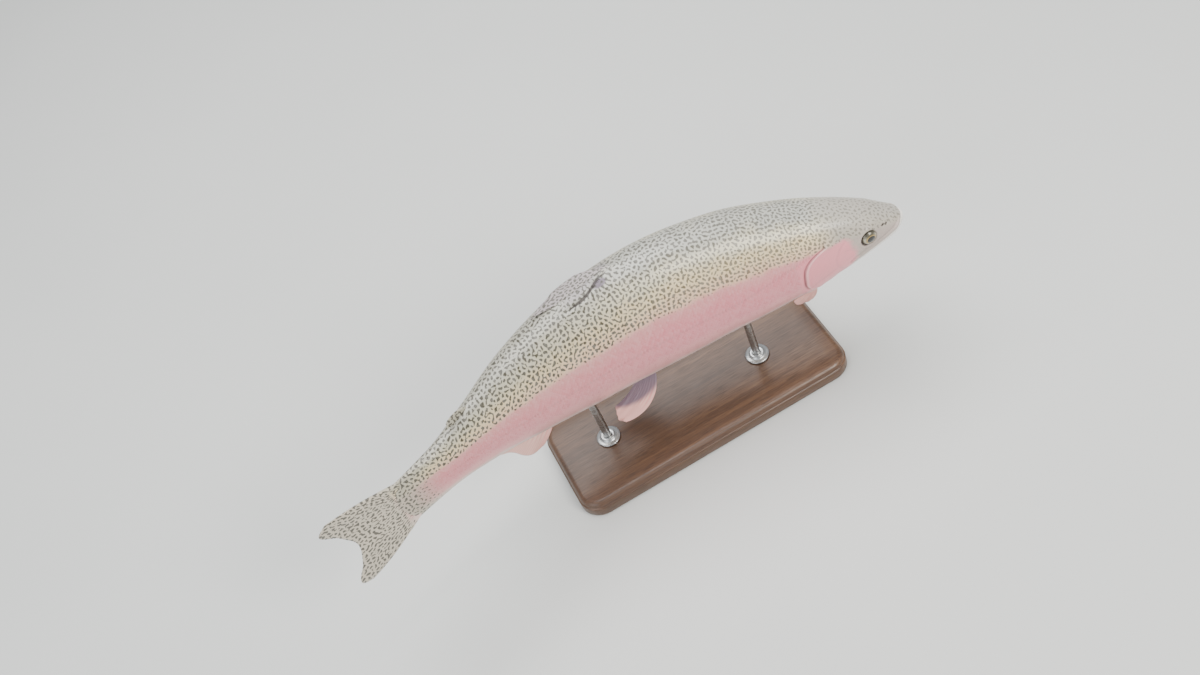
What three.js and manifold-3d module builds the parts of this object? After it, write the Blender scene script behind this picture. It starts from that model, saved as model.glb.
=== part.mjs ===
// A life-size rainbow trout, held on a plain display stand: a deep-bodied adult about 0.6 m long,
// turning gently to its right, with the dorsal fin folded back and the other fins held low.
//
// Millimetres, +Z up. The origin is the middle of the underside of the stand's base. The fish lies
// along X with its snout towards +X, its right side towards -Y and its back up.
//
// The fish is drawn in its own straight coordinates and then bent along its spine:
//   s     distance from the snout tip back along the spine
//   side  distance from the middle plane, towards the fish's left
//   z     height above the spine
import * as THREE from "three";
import { mergeVertices } from "three/addons/utils/BufferGeometryUtils.js";
import Module from "manifold-3d";

const wasm = await Module();
wasm.setup();

// ---------------------------------------------------------------- driving dimensions

const STANDARD_LENGTH = 525; // snout tip to the root of the tail fin
const STALK_END = 528; // where the tail stalk gives way to the tail fin
const SPINE_HEIGHT = 152; // spine above the floor
const BODY_TURN_DEG = 33; // how far the heading changes from snout to tail
const TURN_FROM = 45; // the spine is straight ahead of this s ...
const TURN_TO = 500; // ... and straight again behind this one
const NOSE_ROUND = 12; // length of the rounded snout
const GAP = 0.3; // clearance between neighbouring solids

// Half outlines of the body: s, top, bottom and half width.
const STATIONS = [
  [0, 4, -12, 9.5],
  [12, 11, -18.5, 15],
  [36, 27, -29.5, 22.5],
  [70, 41.5, -41, 31],
  [108, 54.5, -51, 37.5],
  [165, 69, -60, 42],
  [235, 75, -66, 43.5],
  [315, 70.5, -61, 39.5],
  [386, 56, -48, 30],
  [435, 40.5, -36, 20],
  [485, 29.5, -28, 11.5],
  [STALK_END, 30, -29, 3.4],
];
const WIDEST_SHARE = 0.3; // the widest level, as a share of top + bottom
const BACK_ROUNDNESS = 0.93; // 1 is an ellipse, less is fuller
const HEAD_KEEL = 1.08; // the throat's narrowness ...
const BELLY_ROUNDNESS = 0.9; // ... and the belly's fullness
const KEEL_ENDS = 150; // s where the throat has become the belly

const RING_POINTS = 36;
const HEAD_RINGS = [0.5, 2, 4.5, 8, 12, 19, 28, 40, 55, 70, 85];
const CUTS = [100, 200, 320, 430]; // where the body is parted
const RING_STEP = 17;

const EYE = { s: 37, z: 4.5, radius: 7.8, depth: 5.6, sunk: 3.4, facesForwardDeg: 14 };
const MOUTH = { lipZ: 1.6, cornerS: 47, cornerZ: -15, hingeS: 60 };
const BEYOND_HEAD = 70; // past the head on every side, for cutters

const COLOURS = {
  back: 0x8a8c6c,
  flank: 0xb0808a,
  cheek: 0xc77f86,
  jaw: 0xb9b2a8,
  fin: 0x8f8a78,
  paleFin: 0xc79a8f,
  eye: 0x2a2a22,
  wood: 0x6b4a2f,
  steel: 0x9a9c9e,
};

// ---------------------------------------------------------------- curves

// Monotone cubic through the rows of a table, whose first column is the position.
function smoothTable(rows) {
  const x = rows.map((row) => row[0]);
  const slopes = rows[0].slice(1).map((_, k) => {
    const y = rows.map((row) => row[k + 1]);
    const rise = x.slice(1).map((xi, i) => (y[i + 1] - y[i]) / (xi - x[i]));
    return y.map((_, i) => {
      if (i === 0) return rise[0];
      if (i === y.length - 1) return rise[i - 1];
      if (rise[i - 1] * rise[i] <= 0) return 0;
      return (2 * rise[i - 1] * rise[i]) / (rise[i - 1] + rise[i]);
    });
  });
  return (at) => {
    const last = rows.length - 2;
    const i = Math.min(last, Math.max(0, x.findIndex((xi) => xi > at) - 1));
    const j = at >= x[last + 1] ? last : i;
    const width = x[j + 1] - x[j];
    const t = Math.min(1, Math.max(0, (at - x[j]) / width));
    return slopes.map((slope, k) => {
      const [a, b] = [rows[j][k + 1], rows[j + 1][k + 1]];
      const [h1, h2] = [t * t * (3 - 2 * t), t * (1 - t) * width];
      return a + (b - a) * h1 + h2 * ((1 - t) * slope[j] - t * slope[j + 1]);
    });
  };
}

const smoothStep = (t) => {
  const x = Math.min(1, Math.max(0, t));
  return x * x * (3 - 2 * x);
};
const mix = (a, b, t) => a + (b - a) * t;
const power = (x, e) => Math.sign(x) * Math.abs(x) ** e;

// ---------------------------------------------------------------- the spine

const SPINE_STEP = 1;
const SPINE_TO = 640;

// Points of the spine in plan, walked back from the snout, with the heading at each.
function walkSpine() {
  const points = [];
  let [x, y] = [0, 0];
  for (let s = 0; s <= SPINE_TO; s += SPINE_STEP) {
    const middle = s + SPINE_STEP / 2;
    const turned = smoothStep((middle - TURN_FROM) / (TURN_TO - TURN_FROM));
    const heading = THREE.MathUtils.degToRad(BODY_TURN_DEG * turned);
    points.push({ x, y, heading });
    x -= Math.cos(heading) * SPINE_STEP;
    y -= Math.sin(heading) * SPINE_STEP;
  }
  return points;
}

// Turns the spine so that snout and tail root lie along X, and centres it on the body's bulk.
function settleSpine(points) {
  const tail = points[STANDARD_LENGTH / SPINE_STEP];
  const turn = Math.atan2(-tail.y, -tail.x);
  const [c, n] = [Math.cos(turn), Math.sin(turn)];
  const turned = points.map((p) => ({
    x: c * p.x + n * p.y,
    y: c * p.y - n * p.x,
    heading: p.heading - turn,
  }));
  let [bulk, x, y] = [0, 0, 0];
  for (let s = 0; s < STANDARD_LENGTH; s += SPINE_STEP) {
    const { top, bottom, half } = outline(s);
    const area = (top - bottom) * half;
    bulk += area;
    x += area * turned[s].x;
    y += area * turned[s].y;
  }
  return turned.map((p) => ({ ...p, x: p.x - x / bulk, y: p.y - y / bulk }));
}

const stationTable = smoothTable(STATIONS);

// The body's top, bottom, widest level and half width at s.
function outline(s) {
  const [top, bottom, half] = stationTable(s);
  const nose = Math.sqrt(Math.max(0, 1 - Math.max(0, 1 - s / NOSE_ROUND) ** 2));
  const level = (top + bottom) * WIDEST_SHARE;
  return {
    top: level + (top - level) * nose,
    bottom: level + (bottom - level) * nose,
    half: half * nose,
    level,
  };
}

const spine = settleSpine(walkSpine());

// A point of the fish's own coordinates in the part's frame.
function place(s, side, z) {
  const at = Math.min(spine.length - 1.001, Math.max(0, s / SPINE_STEP));
  const i = Math.floor(at);
  const [a, b, t] = [spine[i], spine[i + 1], at - i];
  const heading = mix(a.heading, b.heading, t);
  const ahead = Math.min(0, s);
  return [
    mix(a.x, b.x, t) - Math.cos(heading) * ahead - Math.sin(heading) * side,
    mix(a.y, b.y, t) - Math.sin(heading) * ahead + Math.cos(heading) * side,
    SPINE_HEIGHT + z,
  ];
}

// ---------------------------------------------------------------- the body's surface

function roundness(s, upper) {
  if (upper) return BACK_ROUNDNESS;
  return mix(HEAD_KEEL, BELLY_ROUNDNESS, smoothStep(s / KEEL_ENDS));
}

// One closed ring round the body at s, grown outwards by a margin.
function bodyRing(s, margin = 0) {
  const { top, bottom, half, level } = outline(s);
  const ring = [];
  for (let k = 0; k < RING_POINTS; k++) {
    const angle = (2 * Math.PI * k) / RING_POINTS;
    const [c, n] = [Math.cos(angle), Math.sin(angle)];
    const e = roundness(s, n > 0);
    const reach = n > 0 ? top - level + margin : level - bottom + margin;
    ring.push(place(s, power(c, e) * (half + margin), level + power(n, e) * reach));
  }
  return ring;
}

// Distance of the body's surface from the middle plane at s and z.
function halfWidthAt(s, z) {
  const { top, bottom, half, level } = outline(s);
  const e = roundness(s, z > level);
  const reach = z > level ? top - level : level - bottom;
  const n = Math.min(1, Math.abs(z - level) / reach) ** (1 / e);
  return half * Math.sqrt(1 - n * n) ** e;
}

// ---------------------------------------------------------------- solids

// Triangles as one closed geometry, turned to face outwards.
function closed(points, faces) {
  const p = points.map((point) => new THREE.Vector3(...point));
  let volume = 0;
  for (const [a, b, c] of faces) volume += p[a].dot(p[b].clone().cross(p[c]));
  const facing = volume < 0 ? faces.map(([a, b, c]) => [a, c, b]) : faces;
  return new THREE.BufferGeometry().setFromPoints(p).setIndex(facing.flat());
}

// A solid through a row of rings, closed at both ends by a fan.
function loft(rings) {
  const n = rings[0].length;
  const points = rings.flat();
  const faces = [];
  for (let r = 0; r + 1 < rings.length; r++)
    for (let k = 0; k < n; k++) {
      const [a, b] = [r * n + k, r * n + ((k + 1) % n)];
      faces.push([a, b, b + n], [a, b + n, a + n]);
    }
  for (const r of [0, rings.length - 1]) {
    const middle = points.length;
    points.push([0, 1, 2].map((axis) => rings[r].reduce((sum, p) => sum + p[axis], 0) / n));
    for (let k = 0; k < n; k++) {
      const [a, b] = [r * n + k, r * n + ((k + 1) % n)];
      faces.push(r ? [a, b, middle] : [b, a, middle]);
    }
  }
  return closed(points, faces);
}

// A plate between two sheets of points that share their layout, closed round its rim.
function plate(outer, inner) {
  const [rows, columns] = [outer.length, outer[0].length];
  const points = [...outer.flat(), ...inner.flat()];
  const under = rows * columns;
  const at = (i, j) => i * columns + j;
  const faces = [];
  for (let i = 0; i + 1 < rows; i++)
    for (let j = 0; j + 1 < columns; j++) {
      const [a, b, c, d] = [at(i, j), at(i, j + 1), at(i + 1, j + 1), at(i + 1, j)];
      faces.push([a, b, c], [a, c, d]);
      faces.push([a + under, c + under, b + under], [a + under, d + under, c + under]);
    }
  const rim = [];
  for (let j = 0; j + 1 < columns; j++) rim.push(at(0, j));
  for (let i = 0; i + 1 < rows; i++) rim.push(at(i, columns - 1));
  for (let j = columns - 1; j > 0; j--) rim.push(at(rows - 1, j));
  for (let i = rows - 1; i > 0; i--) rim.push(at(i, 0));
  rim.forEach((a, k) => {
    const b = rim[(k + 1) % rim.length];
    faces.push([b, a, a + under], [b, a + under, b + under]);
  });
  return closed(points, faces);
}

function solid(geometry) {
  const bare = geometry.clone();
  bare.deleteAttribute("normal");
  bare.deleteAttribute("uv");
  const merged = mergeVertices(bare, 1e-4);
  const { array } = merged.attributes.position;
  return new wasm.Manifold(
    new wasm.Mesh({
      numProp: 3,
      vertProperties: Float32Array.from(array),
      triVerts: Uint32Array.from(merged.index.array),
    }),
  );
}

function geometryOf(manifold) {
  const mesh = manifold.getMesh();
  const positions = new THREE.BufferAttribute(mesh.vertProperties, 3);
  const geometry = new THREE.BufferGeometry().setAttribute("position", positions);
  geometry.setIndex(new THREE.BufferAttribute(mesh.triVerts, 1));
  return geometry;
}

// ---------------------------------------------------------------- the object

const trout = new THREE.Group();
trout.name = "rainbow_trout";

// The biggest body of a solid, without the slivers that cutting it may leave.
function mainBody(whole) {
  return whole.decompose().reduce((a, b) => (b.volume() > a.volume() ? b : a));
}

function add(name, shape, colour, roughness = 0.45, metalness = 0) {
  const geometry = shape.isBufferGeometry ? shape : geometryOf(shape);
  const material = new THREE.MeshStandardMaterial({ color: colour, roughness, metalness });
  const mesh = new THREE.Mesh(geometry, material);
  mesh.name = name;
  trout.add(mesh);
}

const span = (from, to, step) => {
  const count = Math.ceil((to - from) / step);
  return Array.from({ length: count + 1 }, (_, i) => mix(from, to, i / count));
};
const bodyLength = (from, to) => loft(span(from, to, RING_STEP).map((s) => bodyRing(s)));

// ---------------------------------------------------------------- plates on the head

// A plate that lies in the surface of one side. Its front and back edges are s, at each share of
// the way up from low to high.
const PLATE_ROWS = 9;
const PLATE_COLUMNS = 5;

function sidePlate(side, { low, high, front, back, proud, sunk }, grow = 0) {
  const sheet = (lift) =>
    span(0, 1, 1 / (PLATE_ROWS - 1)).map((v) => {
      const z = mix(low - grow, high + grow, v);
      const [from, to] = [front(v) - grow, back(v) + grow];
      return span(0, 1, 1 / (PLATE_COLUMNS - 1)).map((u) => {
        const s = mix(from, to, u);
        return place(s, side * (halfWidthAt(s, z) + lift), z);
      });
    });
  return plate(sheet(proud), sheet(-sunk));
}

const arch = (v) => Math.sqrt(Math.max(0, 1 - (2 * v - 1) ** 2));

const GILL_COVER = {
  low: -37,
  high: 22,
  front: (v) => 75 - 8 * arch(v),
  back: (v) => 83 - 5 * v + 22 * arch(v) ** 0.75,
  proud: 1,
  sunk: 2.2,
};
const SEAT_REACH = 12; // how far the gill cover's cutter stands out of the head

// The bone along the edge of the upper jaw, which widens towards its rounded rear end.
const JAW_BONE = {
  start: { s: 9, z: 0.4, half: 1.7 },
  end: { s: 57, z: -14.5, half: 3.6 },
  roundFrom: 0.8,
  droop: 0.86,
  proud: 0.9,
  sunk: 1.6,
};
const BONE_STEPS = 7;

function jawBone(side, grow = 0) {
  const { start, end, roundFrom, droop, proud, sunk } = JAW_BONE;
  const sheet = (lift) =>
    span(0, 1, 1 / BONE_STEPS).map((u) => {
      const s = mix(start.s - grow, end.s + grow, u);
      const tip = Math.max(0, (u - roundFrom) / (1 - roundFrom));
      const half = mix(start.half, end.half, u) * Math.sqrt(Math.max(0.02, 1 - tip ** 2)) + grow;
      const middle = mix(start.z, end.z, u ** droop);
      return [middle - half, middle, middle + half].map((z) =>
        place(s, side * (halfWidthAt(s, z) + lift), z),
      );
    });
  return plate(sheet(proud + grow), sheet(-sunk - grow));
}

function eyeball(side, grow = 0) {
  const { s, z, radius, depth, sunk, facesForwardDeg } = EYE;
  const ball = new THREE.SphereGeometry(1, 16, 8);
  ball.scale(radius + grow, depth + grow, radius + grow);
  const centre = place(s, side * (halfWidthAt(s, z) - sunk), z);
  const heading = spine[Math.round(s)].heading;
  ball.rotateZ(heading - side * THREE.MathUtils.degToRad(facesForwardDeg));
  ball.translate(...centre);
  return ball;
}

// Everything below the mouth line, as a block across the head.
function jawBlock(grow = 0) {
  const { lipZ, cornerS, cornerZ, hingeS } = MOUTH;
  const profile = [
    [-BEYOND_HEAD, lipZ + grow],
    [0, lipZ + grow],
    [cornerS / 2, mix(lipZ, cornerZ, 0.52) + grow],
    [cornerS + grow, cornerZ + grow],
    [hingeS + grow, -BEYOND_HEAD],
    [-BEYOND_HEAD, -BEYOND_HEAD],
  ];
  const face = (side) => profile.map(([s, z]) => place(s, side, z));
  return loft([face(-BEYOND_HEAD), face(BEYOND_HEAD)]);
}

// ---------------------------------------------------------------- head and body

const wholeHead = solid(loft([...HEAD_RINGS, CUTS[0] - GAP / 2].map((s) => bodyRing(s))));
const sides = [
  ["right", -1],
  ["left", 1],
];

let head = wholeHead.subtract(solid(jawBlock(GAP)));
let jaw = wholeHead.intersect(solid(jawBlock()));
let trunkFront = solid(bodyLength(CUTS[0] + GAP / 2, CUTS[1] - GAP / 2));
for (const [name, side] of sides) {
  const seat = { ...GILL_COVER, proud: SEAT_REACH, sunk: GILL_COVER.sunk + GAP };
  const coverSeat = solid(sidePlate(side, seat, GAP));
  const boneSeat = solid(jawBone(side, GAP));
  const eyeSeat = solid(eyeball(side, GAP));
  head = head.subtract(coverSeat).subtract(boneSeat).subtract(eyeSeat);
  jaw = jaw.subtract(boneSeat).subtract(coverSeat);
  trunkFront = trunkFront.subtract(coverSeat);
  add(`gill_cover_${name}`, sidePlate(side, GILL_COVER), COLOURS.cheek, 0.35);
  add(`jaw_bone_${name}`, jawBone(side), COLOURS.jaw, 0.35);
  add(`eye_${name}`, eyeball(side), COLOURS.eye, 0.1);
}
add("head", mainBody(head), COLOURS.back);
add("lower_jaw", mainBody(jaw), COLOURS.jaw);
add("trunk_front", trunkFront, COLOURS.flank);
add("trunk_middle", bodyLength(CUTS[1] + GAP / 2, CUTS[2] - GAP / 2), COLOURS.flank);
add("trunk_rear", bodyLength(CUTS[2] + GAP / 2, CUTS[3] - GAP / 2), COLOURS.flank);
add("tail_stalk", bodyLength(CUTS[3] + GAP / 2, STALK_END), COLOURS.back);

// The body with a little clearance all round, which fins and rods are trimmed to.
const clearanceRings = [0.2, ...HEAD_RINGS.slice(1), ...span(CUTS[0], STALK_END + GAP, 12)];
const bodyClearance = solid(loft(clearanceRings.map((s) => bodyRing(s, GAP))));

// ---------------------------------------------------------------- fins

// A fin is a fan of rays. root: the feet of the first and last ray, as [s, side, z]. out and back
// span its plane. rays: share along the root, length, lean and bow. The lean is a ray's angle from
// out towards back, in degrees, and the bow is how much that grows by its tip. thick: at the root
// and at the margin. curl: how far the tips bend out of the plane, and wave: how far that swings
// from front to back.
const FIN_COLUMNS = 9;
const FIN_ROWS = 5;

function finSheet(fin) {
  const out = new THREE.Vector3(...fin.out).normalize();
  const back = new THREE.Vector3(...fin.back).normalize();
  const across = new THREE.Vector3().crossVectors(out, back);
  const shape = smoothTable(fin.rays);
  const [first, last] = fin.root.map((p) => new THREE.Vector3(...p));
  const sheets = [1, -1].map((face) =>
    span(0, 1, 1 / FIN_COLUMNS).map((q) => {
      const [length, lean, bow] = shape(q);
      const foot = first.clone().lerp(last, q);
      return span(0, 1, 1 / FIN_ROWS).map((t) => {
        const angle = THREE.MathUtils.degToRad(lean + (bow * t) / 2);
        const bend = (fin.curl + fin.wave * Math.sin(2 * Math.PI * q)) * t * t;
        const half = mix(fin.thick[0], fin.thick[1], t ** 0.6) / 2;
        const p = foot.clone().addScaledVector(out, Math.cos(angle) * length * t);
        p.addScaledVector(back, Math.sin(angle) * length * t);
        p.addScaledVector(across, bend + face * half);
        return place(p.x, p.y, p.z);
      });
    }),
  );
  return plate(sheets[0], sheets[1]);
}

const DORSAL_TILT = THREE.MathUtils.degToRad(74); // folded over towards the fish's left

const DORSAL_FIN = {
  root: [
    [256, 0, 74.5],
    [320, 0, 69.5],
  ],
  out: [0, Math.sin(DORSAL_TILT), Math.cos(DORSAL_TILT)],
  back: [1, 0, -0.08],
  rays: [
    [0, 40, 60, 14],
    [0.2, 47, 64, 12],
    [0.6, 40, 68, 12],
    [1, 27, 70, 10],
  ],
  thick: [3.4, 1],
  curl: 2,
  wave: 0.8,
};

const ADIPOSE_FIN = {
  root: [
    [432, 0, 37],
    [445, 0, 34],
  ],
  out: [0, 0, 1],
  back: [1, 0, -0.25],
  rays: [
    [0, 19, 36, 26],
    [0.5, 23, 44, 26],
    [1, 17, 62, 20],
  ],
  thick: [3.6, 1.6],
  curl: -1,
  wave: 0,
};

const ANAL_FIN = {
  root: [
    [368, 0, -47],
    [421, 0, -35],
  ],
  out: [0, -0.08, -1],
  back: [1, 0, 0.22],
  rays: [
    [0, 44, 26, 20],
    [0.15, 49, 32, 20],
    [0.55, 34, 42, 18],
    [1, 23, 52, 16],
  ],
  thick: [3.4, 1],
  curl: -2,
  wave: 1.5,
};

const UPPER_LOBE = [
  [0, 72, 63, 16],
  [0.11, 82, 69, 14],
  [0.28, 68, 79, 6],
  [0.5, 59, 90, 0],
];
const LOWER_LOBE = UPPER_LOBE.slice(0, -1)
  .reverse()
  .map(([share, length, lean, bow]) => [1 - share, length, 180 - lean, -bow]);

const TAIL_FIN = {
  root: [
    [STALK_END - 4, 0, 27.5],
    [STALK_END - 4, 0, -26.5],
  ],
  out: [0, 0, 1],
  back: [1, 0, 0],
  rays: [...UPPER_LOBE, ...LOWER_LOBE],
  thick: [5.4, 1],
  curl: 1.5,
  wave: 2.5,
};

// The paired fins. side is 1 on the fish's left and -1 on its right.
const pectoralFin = (side) => ({
  root: [
    [93, side * 22.8, -35],
    [104, side * 18.5, -43],
  ],
  out: [0, side * -0.28, -0.96],
  back: [1, side * 0.1, -0.12],
  rays: [
    [0, 31, -3, 24],
    [0.2, 34, 2, 26],
    [0.6, 29, 14, 28],
    [1, 18, 32, 26],
  ],
  thick: [4, 1],
  curl: side * 2,
  wave: side,
});

const pelvicFin = (side) => ({
  root: [
    [267, side * 20, -57],
    [287, side * 15, -60],
  ],
  out: [0, side * 0.8, -0.6],
  back: [1, side * 0.05, -0.06],
  rays: [
    [0, 58, 14, 104],
    [0.2, 56, 30, 80],
    [0.6, 46, 47, 50],
    [1, 33, 57, 36],
  ],
  thick: [3.6, 1],
  curl: side * 1,
  wave: side,
});

function addFin(name, fin, colour) {
  add(name, mainBody(solid(finSheet(fin)).subtract(bodyClearance)), colour);
}

addFin("dorsal_fin", DORSAL_FIN, COLOURS.fin);
addFin("adipose_fin", ADIPOSE_FIN, COLOURS.fin);
addFin("anal_fin", ANAL_FIN, COLOURS.paleFin);
addFin("tail_fin", TAIL_FIN, COLOURS.fin);
for (const [name, side] of sides) {
  addFin(`pectoral_fin_${name}`, pectoralFin(side), COLOURS.paleFin);
  addFin(`pelvic_fin_${name}`, pelvicFin(side), COLOURS.paleFin);
}

// ---------------------------------------------------------------- the display stand

const BASE = { length: 300, width: 120, height: 18, corner: 22, edge: 2.5 };
const ROD = { radius: 4, foot: BASE.height + GAP, stations: { front: 165, rear: 335 } };
const COLLAR = { outer: 12, height: 5, chamfer: 1.2 };

function roundedPlan(length, width, corner) {
  const [x, y] = [length / 2, width / 2];
  const plan = new THREE.Shape();
  plan.moveTo(-x + corner, -y);
  plan.absarc(x - corner, -y + corner, corner, -Math.PI / 2, 0);
  plan.absarc(x - corner, y - corner, corner, 0, Math.PI / 2);
  plan.absarc(-x + corner, y - corner, corner, Math.PI / 2, Math.PI);
  plan.absarc(-x + corner, -y + corner, corner, Math.PI, 1.5 * Math.PI);
  return plan;
}

const baseBody = new THREE.ExtrudeGeometry(
  roundedPlan(BASE.length - 2 * BASE.edge, BASE.width - 2 * BASE.edge, BASE.corner - BASE.edge),
  {
    depth: BASE.height - 2 * BASE.edge,
    bevelThickness: BASE.edge,
    bevelSize: BASE.edge,
    bevelSegments: 2,
    curveSegments: 7,
  },
);
baseBody.translate(0, 0, BASE.edge);
add("stand_base", baseBody, COLOURS.wood, 0.5);

for (const [name, s] of Object.entries(ROD.stations)) {
  const [x, y] = place(s, 0, 0);
  const reach = SPINE_HEIGHT - ROD.foot;
  const rod = new THREE.CylinderGeometry(ROD.radius, ROD.radius, reach, 20);
  rod.rotateX(Math.PI / 2);
  rod.translate(x, y, ROD.foot + reach / 2);
  const [inner, outer] = [ROD.radius + GAP, COLLAR.outer];
  const profile = [
    [inner, 0],
    [outer, 0],
    [outer, COLLAR.height - COLLAR.chamfer],
    [outer - COLLAR.chamfer, COLLAR.height],
    [inner, COLLAR.height],
    [inner, 0],
  ].map(([r, h]) => new THREE.Vector2(r, h));
  const collar = new THREE.LatheGeometry(profile, 20);
  collar.rotateX(Math.PI / 2);
  collar.translate(x, y, ROD.foot);
  const shank = solid(rod).subtract(bodyClearance);
  add(`stand_rod_${name}`, shank, COLOURS.steel, 0.3, 0.9);
  add(`stand_collar_${name}`, collar, COLOURS.steel, 0.3, 0.9);
}

export default trout;
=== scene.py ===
"""A life-size rainbow trout on a plain display stand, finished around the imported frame.

The fish is drawn in its own straight coordinates, in millimetres, and bent along its spine:
  s     distance from the snout tip back along the spine
  side  distance from the middle plane, towards the fish's left
  z     height above the spine
The dimensions below repeat the construction's, so that the skin lies in the solids it stands for.
"""

import bpy
import numpy as np
from mathutils import Matrix


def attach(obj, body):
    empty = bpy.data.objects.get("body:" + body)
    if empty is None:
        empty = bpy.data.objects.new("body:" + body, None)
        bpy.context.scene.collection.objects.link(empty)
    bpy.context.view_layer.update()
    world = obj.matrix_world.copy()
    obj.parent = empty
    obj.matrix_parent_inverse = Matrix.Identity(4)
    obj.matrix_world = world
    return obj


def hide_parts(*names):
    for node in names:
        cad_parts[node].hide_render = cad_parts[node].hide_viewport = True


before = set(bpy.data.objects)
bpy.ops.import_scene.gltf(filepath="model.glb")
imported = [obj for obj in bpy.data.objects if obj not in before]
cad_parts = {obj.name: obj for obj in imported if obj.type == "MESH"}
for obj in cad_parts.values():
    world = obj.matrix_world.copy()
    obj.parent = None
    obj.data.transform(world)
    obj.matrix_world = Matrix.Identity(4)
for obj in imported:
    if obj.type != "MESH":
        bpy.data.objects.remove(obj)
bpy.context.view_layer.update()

# ---------------- driving dimensions

MM = 0.001
STANDARD_LENGTH = 525  # snout tip to the root of the tail fin
STALK_END = 528  # where the tail stalk gives way to the tail fin
SPINE_HEIGHT = 152  # spine above the floor
BODY_TURN_DEG = 33  # how far the heading changes from snout to tail
TURN_FROM, TURN_TO = 45, 500  # the spine is straight outside this stretch
SPINE_END = 640  # past the tail fin's tips
SIDES = {"right": -1, "left": 1}
NOSE_ROUND = 12  # length of the rounded snout

STATIONS = [  # s, top, bottom and half width of the body
    [0, 4, -12, 9.5],
    [12, 11, -18.5, 15],
    [36, 27, -29.5, 22.5],
    [70, 41.5, -41, 31],
    [108, 54.5, -51, 37.5],
    [165, 69, -60, 42],
    [235, 75, -66, 43.5],
    [315, 70.5, -61, 39.5],
    [386, 56, -48, 30],
    [435, 40.5, -36, 20],
    [485, 29.5, -28, 11.5],
    [STALK_END, 30, -29, 3.4],
]
WIDEST_SHARE = 0.3  # the widest level, as a share of top + bottom
BACK_ROUNDNESS = 0.93  # 1 is an ellipse, less is fuller
HEAD_KEEL, BELLY_ROUNDNESS, KEEL_ENDS = 1.08, 0.9, 150

COAT_DEPTH = 0.3  # the scales' depth over the skin
EYE = dict(s=37.0, z=4.5, radius=7.8, depth=5.6, sunk=3.4, forward_deg=14)

# ---------------- curves


def smooth_table(rows):
    """Monotone cubic through the rows of a table, whose first column is the position."""
    rows = np.asarray(rows, float)
    x, y = rows[:, 0], rows[:, 1:]
    rise = np.diff(y, axis=0) / np.diff(x)[:, None]
    before, after = rise[:-1], rise[1:]
    turning = before * after <= 0
    inner = np.where(turning, 0, 2 * before * after / np.where(turning, 1, before + after))
    slope = np.vstack([rise[:1], inner, rise[-1:]])

    def at(position):
        position = np.asarray(position, float)
        j = np.clip(np.searchsorted(x, position, side="right") - 1, 0, len(x) - 2)
        width = (x[j + 1] - x[j])[..., None]
        t = np.clip((position - x[j])[..., None] / width, 0, 1)
        ends = y[j] + (y[j + 1] - y[j]) * t * t * (3 - 2 * t)
        return ends + t * (1 - t) * width * ((1 - t) * slope[j] - t * slope[j + 1])

    return at


def smooth(x, low=0.0, high=1.0):
    """0 at low, 1 at high and smooth between; low may be above high."""
    t = np.clip((x - low) / (high - low), 0, 1)
    return t * t * (3 - 2 * t)


def hump(x, width):
    """1 at 0, and falling away to both sides."""
    return np.exp(-((x / width) ** 2))


def band(x, start, full, fading, end):
    """Rises from 0 at start to 1 at full, and falls from 1 at fading to 0 at end."""
    return smooth(x, start, full) * smooth(x, end, fading)


def power(x, exponent):
    """A power that keeps the sign."""
    return np.sign(x) * np.abs(x) ** exponent


def unit(v):
    """Vectors of length 1 along those of v."""
    return np.asarray(v, float) / (np.linalg.norm(v, axis=-1, keepdims=True) + 1e-12)


# ---------------- the fish's form

station_table = smooth_table(STATIONS)


def outline(s):
    """The body's top, bottom, half width and widest level at s."""
    top, bottom, half = np.moveaxis(station_table(s), -1, 0)
    ahead = np.maximum(0, 1 - np.asarray(s, float) / NOSE_ROUND)
    nose = np.sqrt(np.maximum(0, 1 - ahead**2))
    level = (top + bottom) * WIDEST_SHARE
    return level + (top - level) * nose, level + (bottom - level) * nose, half * nose, level


def settled_spine():
    """Points of the spine in plan and its heading there, one a millimetre, centred on the bulk."""
    s = np.arange(SPINE_END + 1)
    heading = np.radians(BODY_TURN_DEG) * smooth(s + 0.5, TURN_FROM, TURN_TO)
    x = -np.concatenate([[0], np.cumsum(np.cos(heading))[:-1]])
    y = -np.concatenate([[0], np.cumsum(np.sin(heading))[:-1]])
    turn = np.arctan2(-y[STANDARD_LENGTH], -x[STANDARD_LENGTH])
    x, y = np.cos(turn) * x + np.sin(turn) * y, np.cos(turn) * y - np.sin(turn) * x
    top, bottom, half, _ = outline(s[:STANDARD_LENGTH])
    area = (top - bottom) * half
    x = x - np.average(x[:STANDARD_LENGTH], weights=area)
    y = y - np.average(y[:STANDARD_LENGTH], weights=area)
    return s, x, y, heading - turn


SPINE = settled_spine()


def place(s, side, z):
    """Points of the fish's own coordinates in the part's frame, in millimetres."""
    s, side, z = np.broadcast_arrays(*(np.asarray(v, float) for v in (s, side, z)))
    x, y, heading = (np.interp(s, SPINE[0], column) for column in SPINE[1:])
    ahead = np.minimum(0, s)
    c, n = np.cos(heading), np.sin(heading)
    return np.stack([x - c * ahead - n * side, y - n * ahead + c * side, SPINE_HEIGHT + z], -1)


def roundness(s, upper):
    """Exponent of the section's curve, above and below its widest level."""
    belly = HEAD_KEEL + (BELLY_ROUNDNESS - HEAD_KEEL) * smooth(s / KEEL_ENDS)
    return np.where(upper, BACK_ROUNDNESS, belly)


def section(s, angle):
    """Side and z of the body's surface at s. The angle is 90 degrees at the top, -90 underneath."""
    top, bottom, half, level = outline(s)
    c, n = np.maximum(0, np.cos(angle)), np.sin(angle)
    e = roundness(s, n > 0)
    return c**e * half, level + power(n, e) * np.where(n > 0, top - level, level - bottom)


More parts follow.
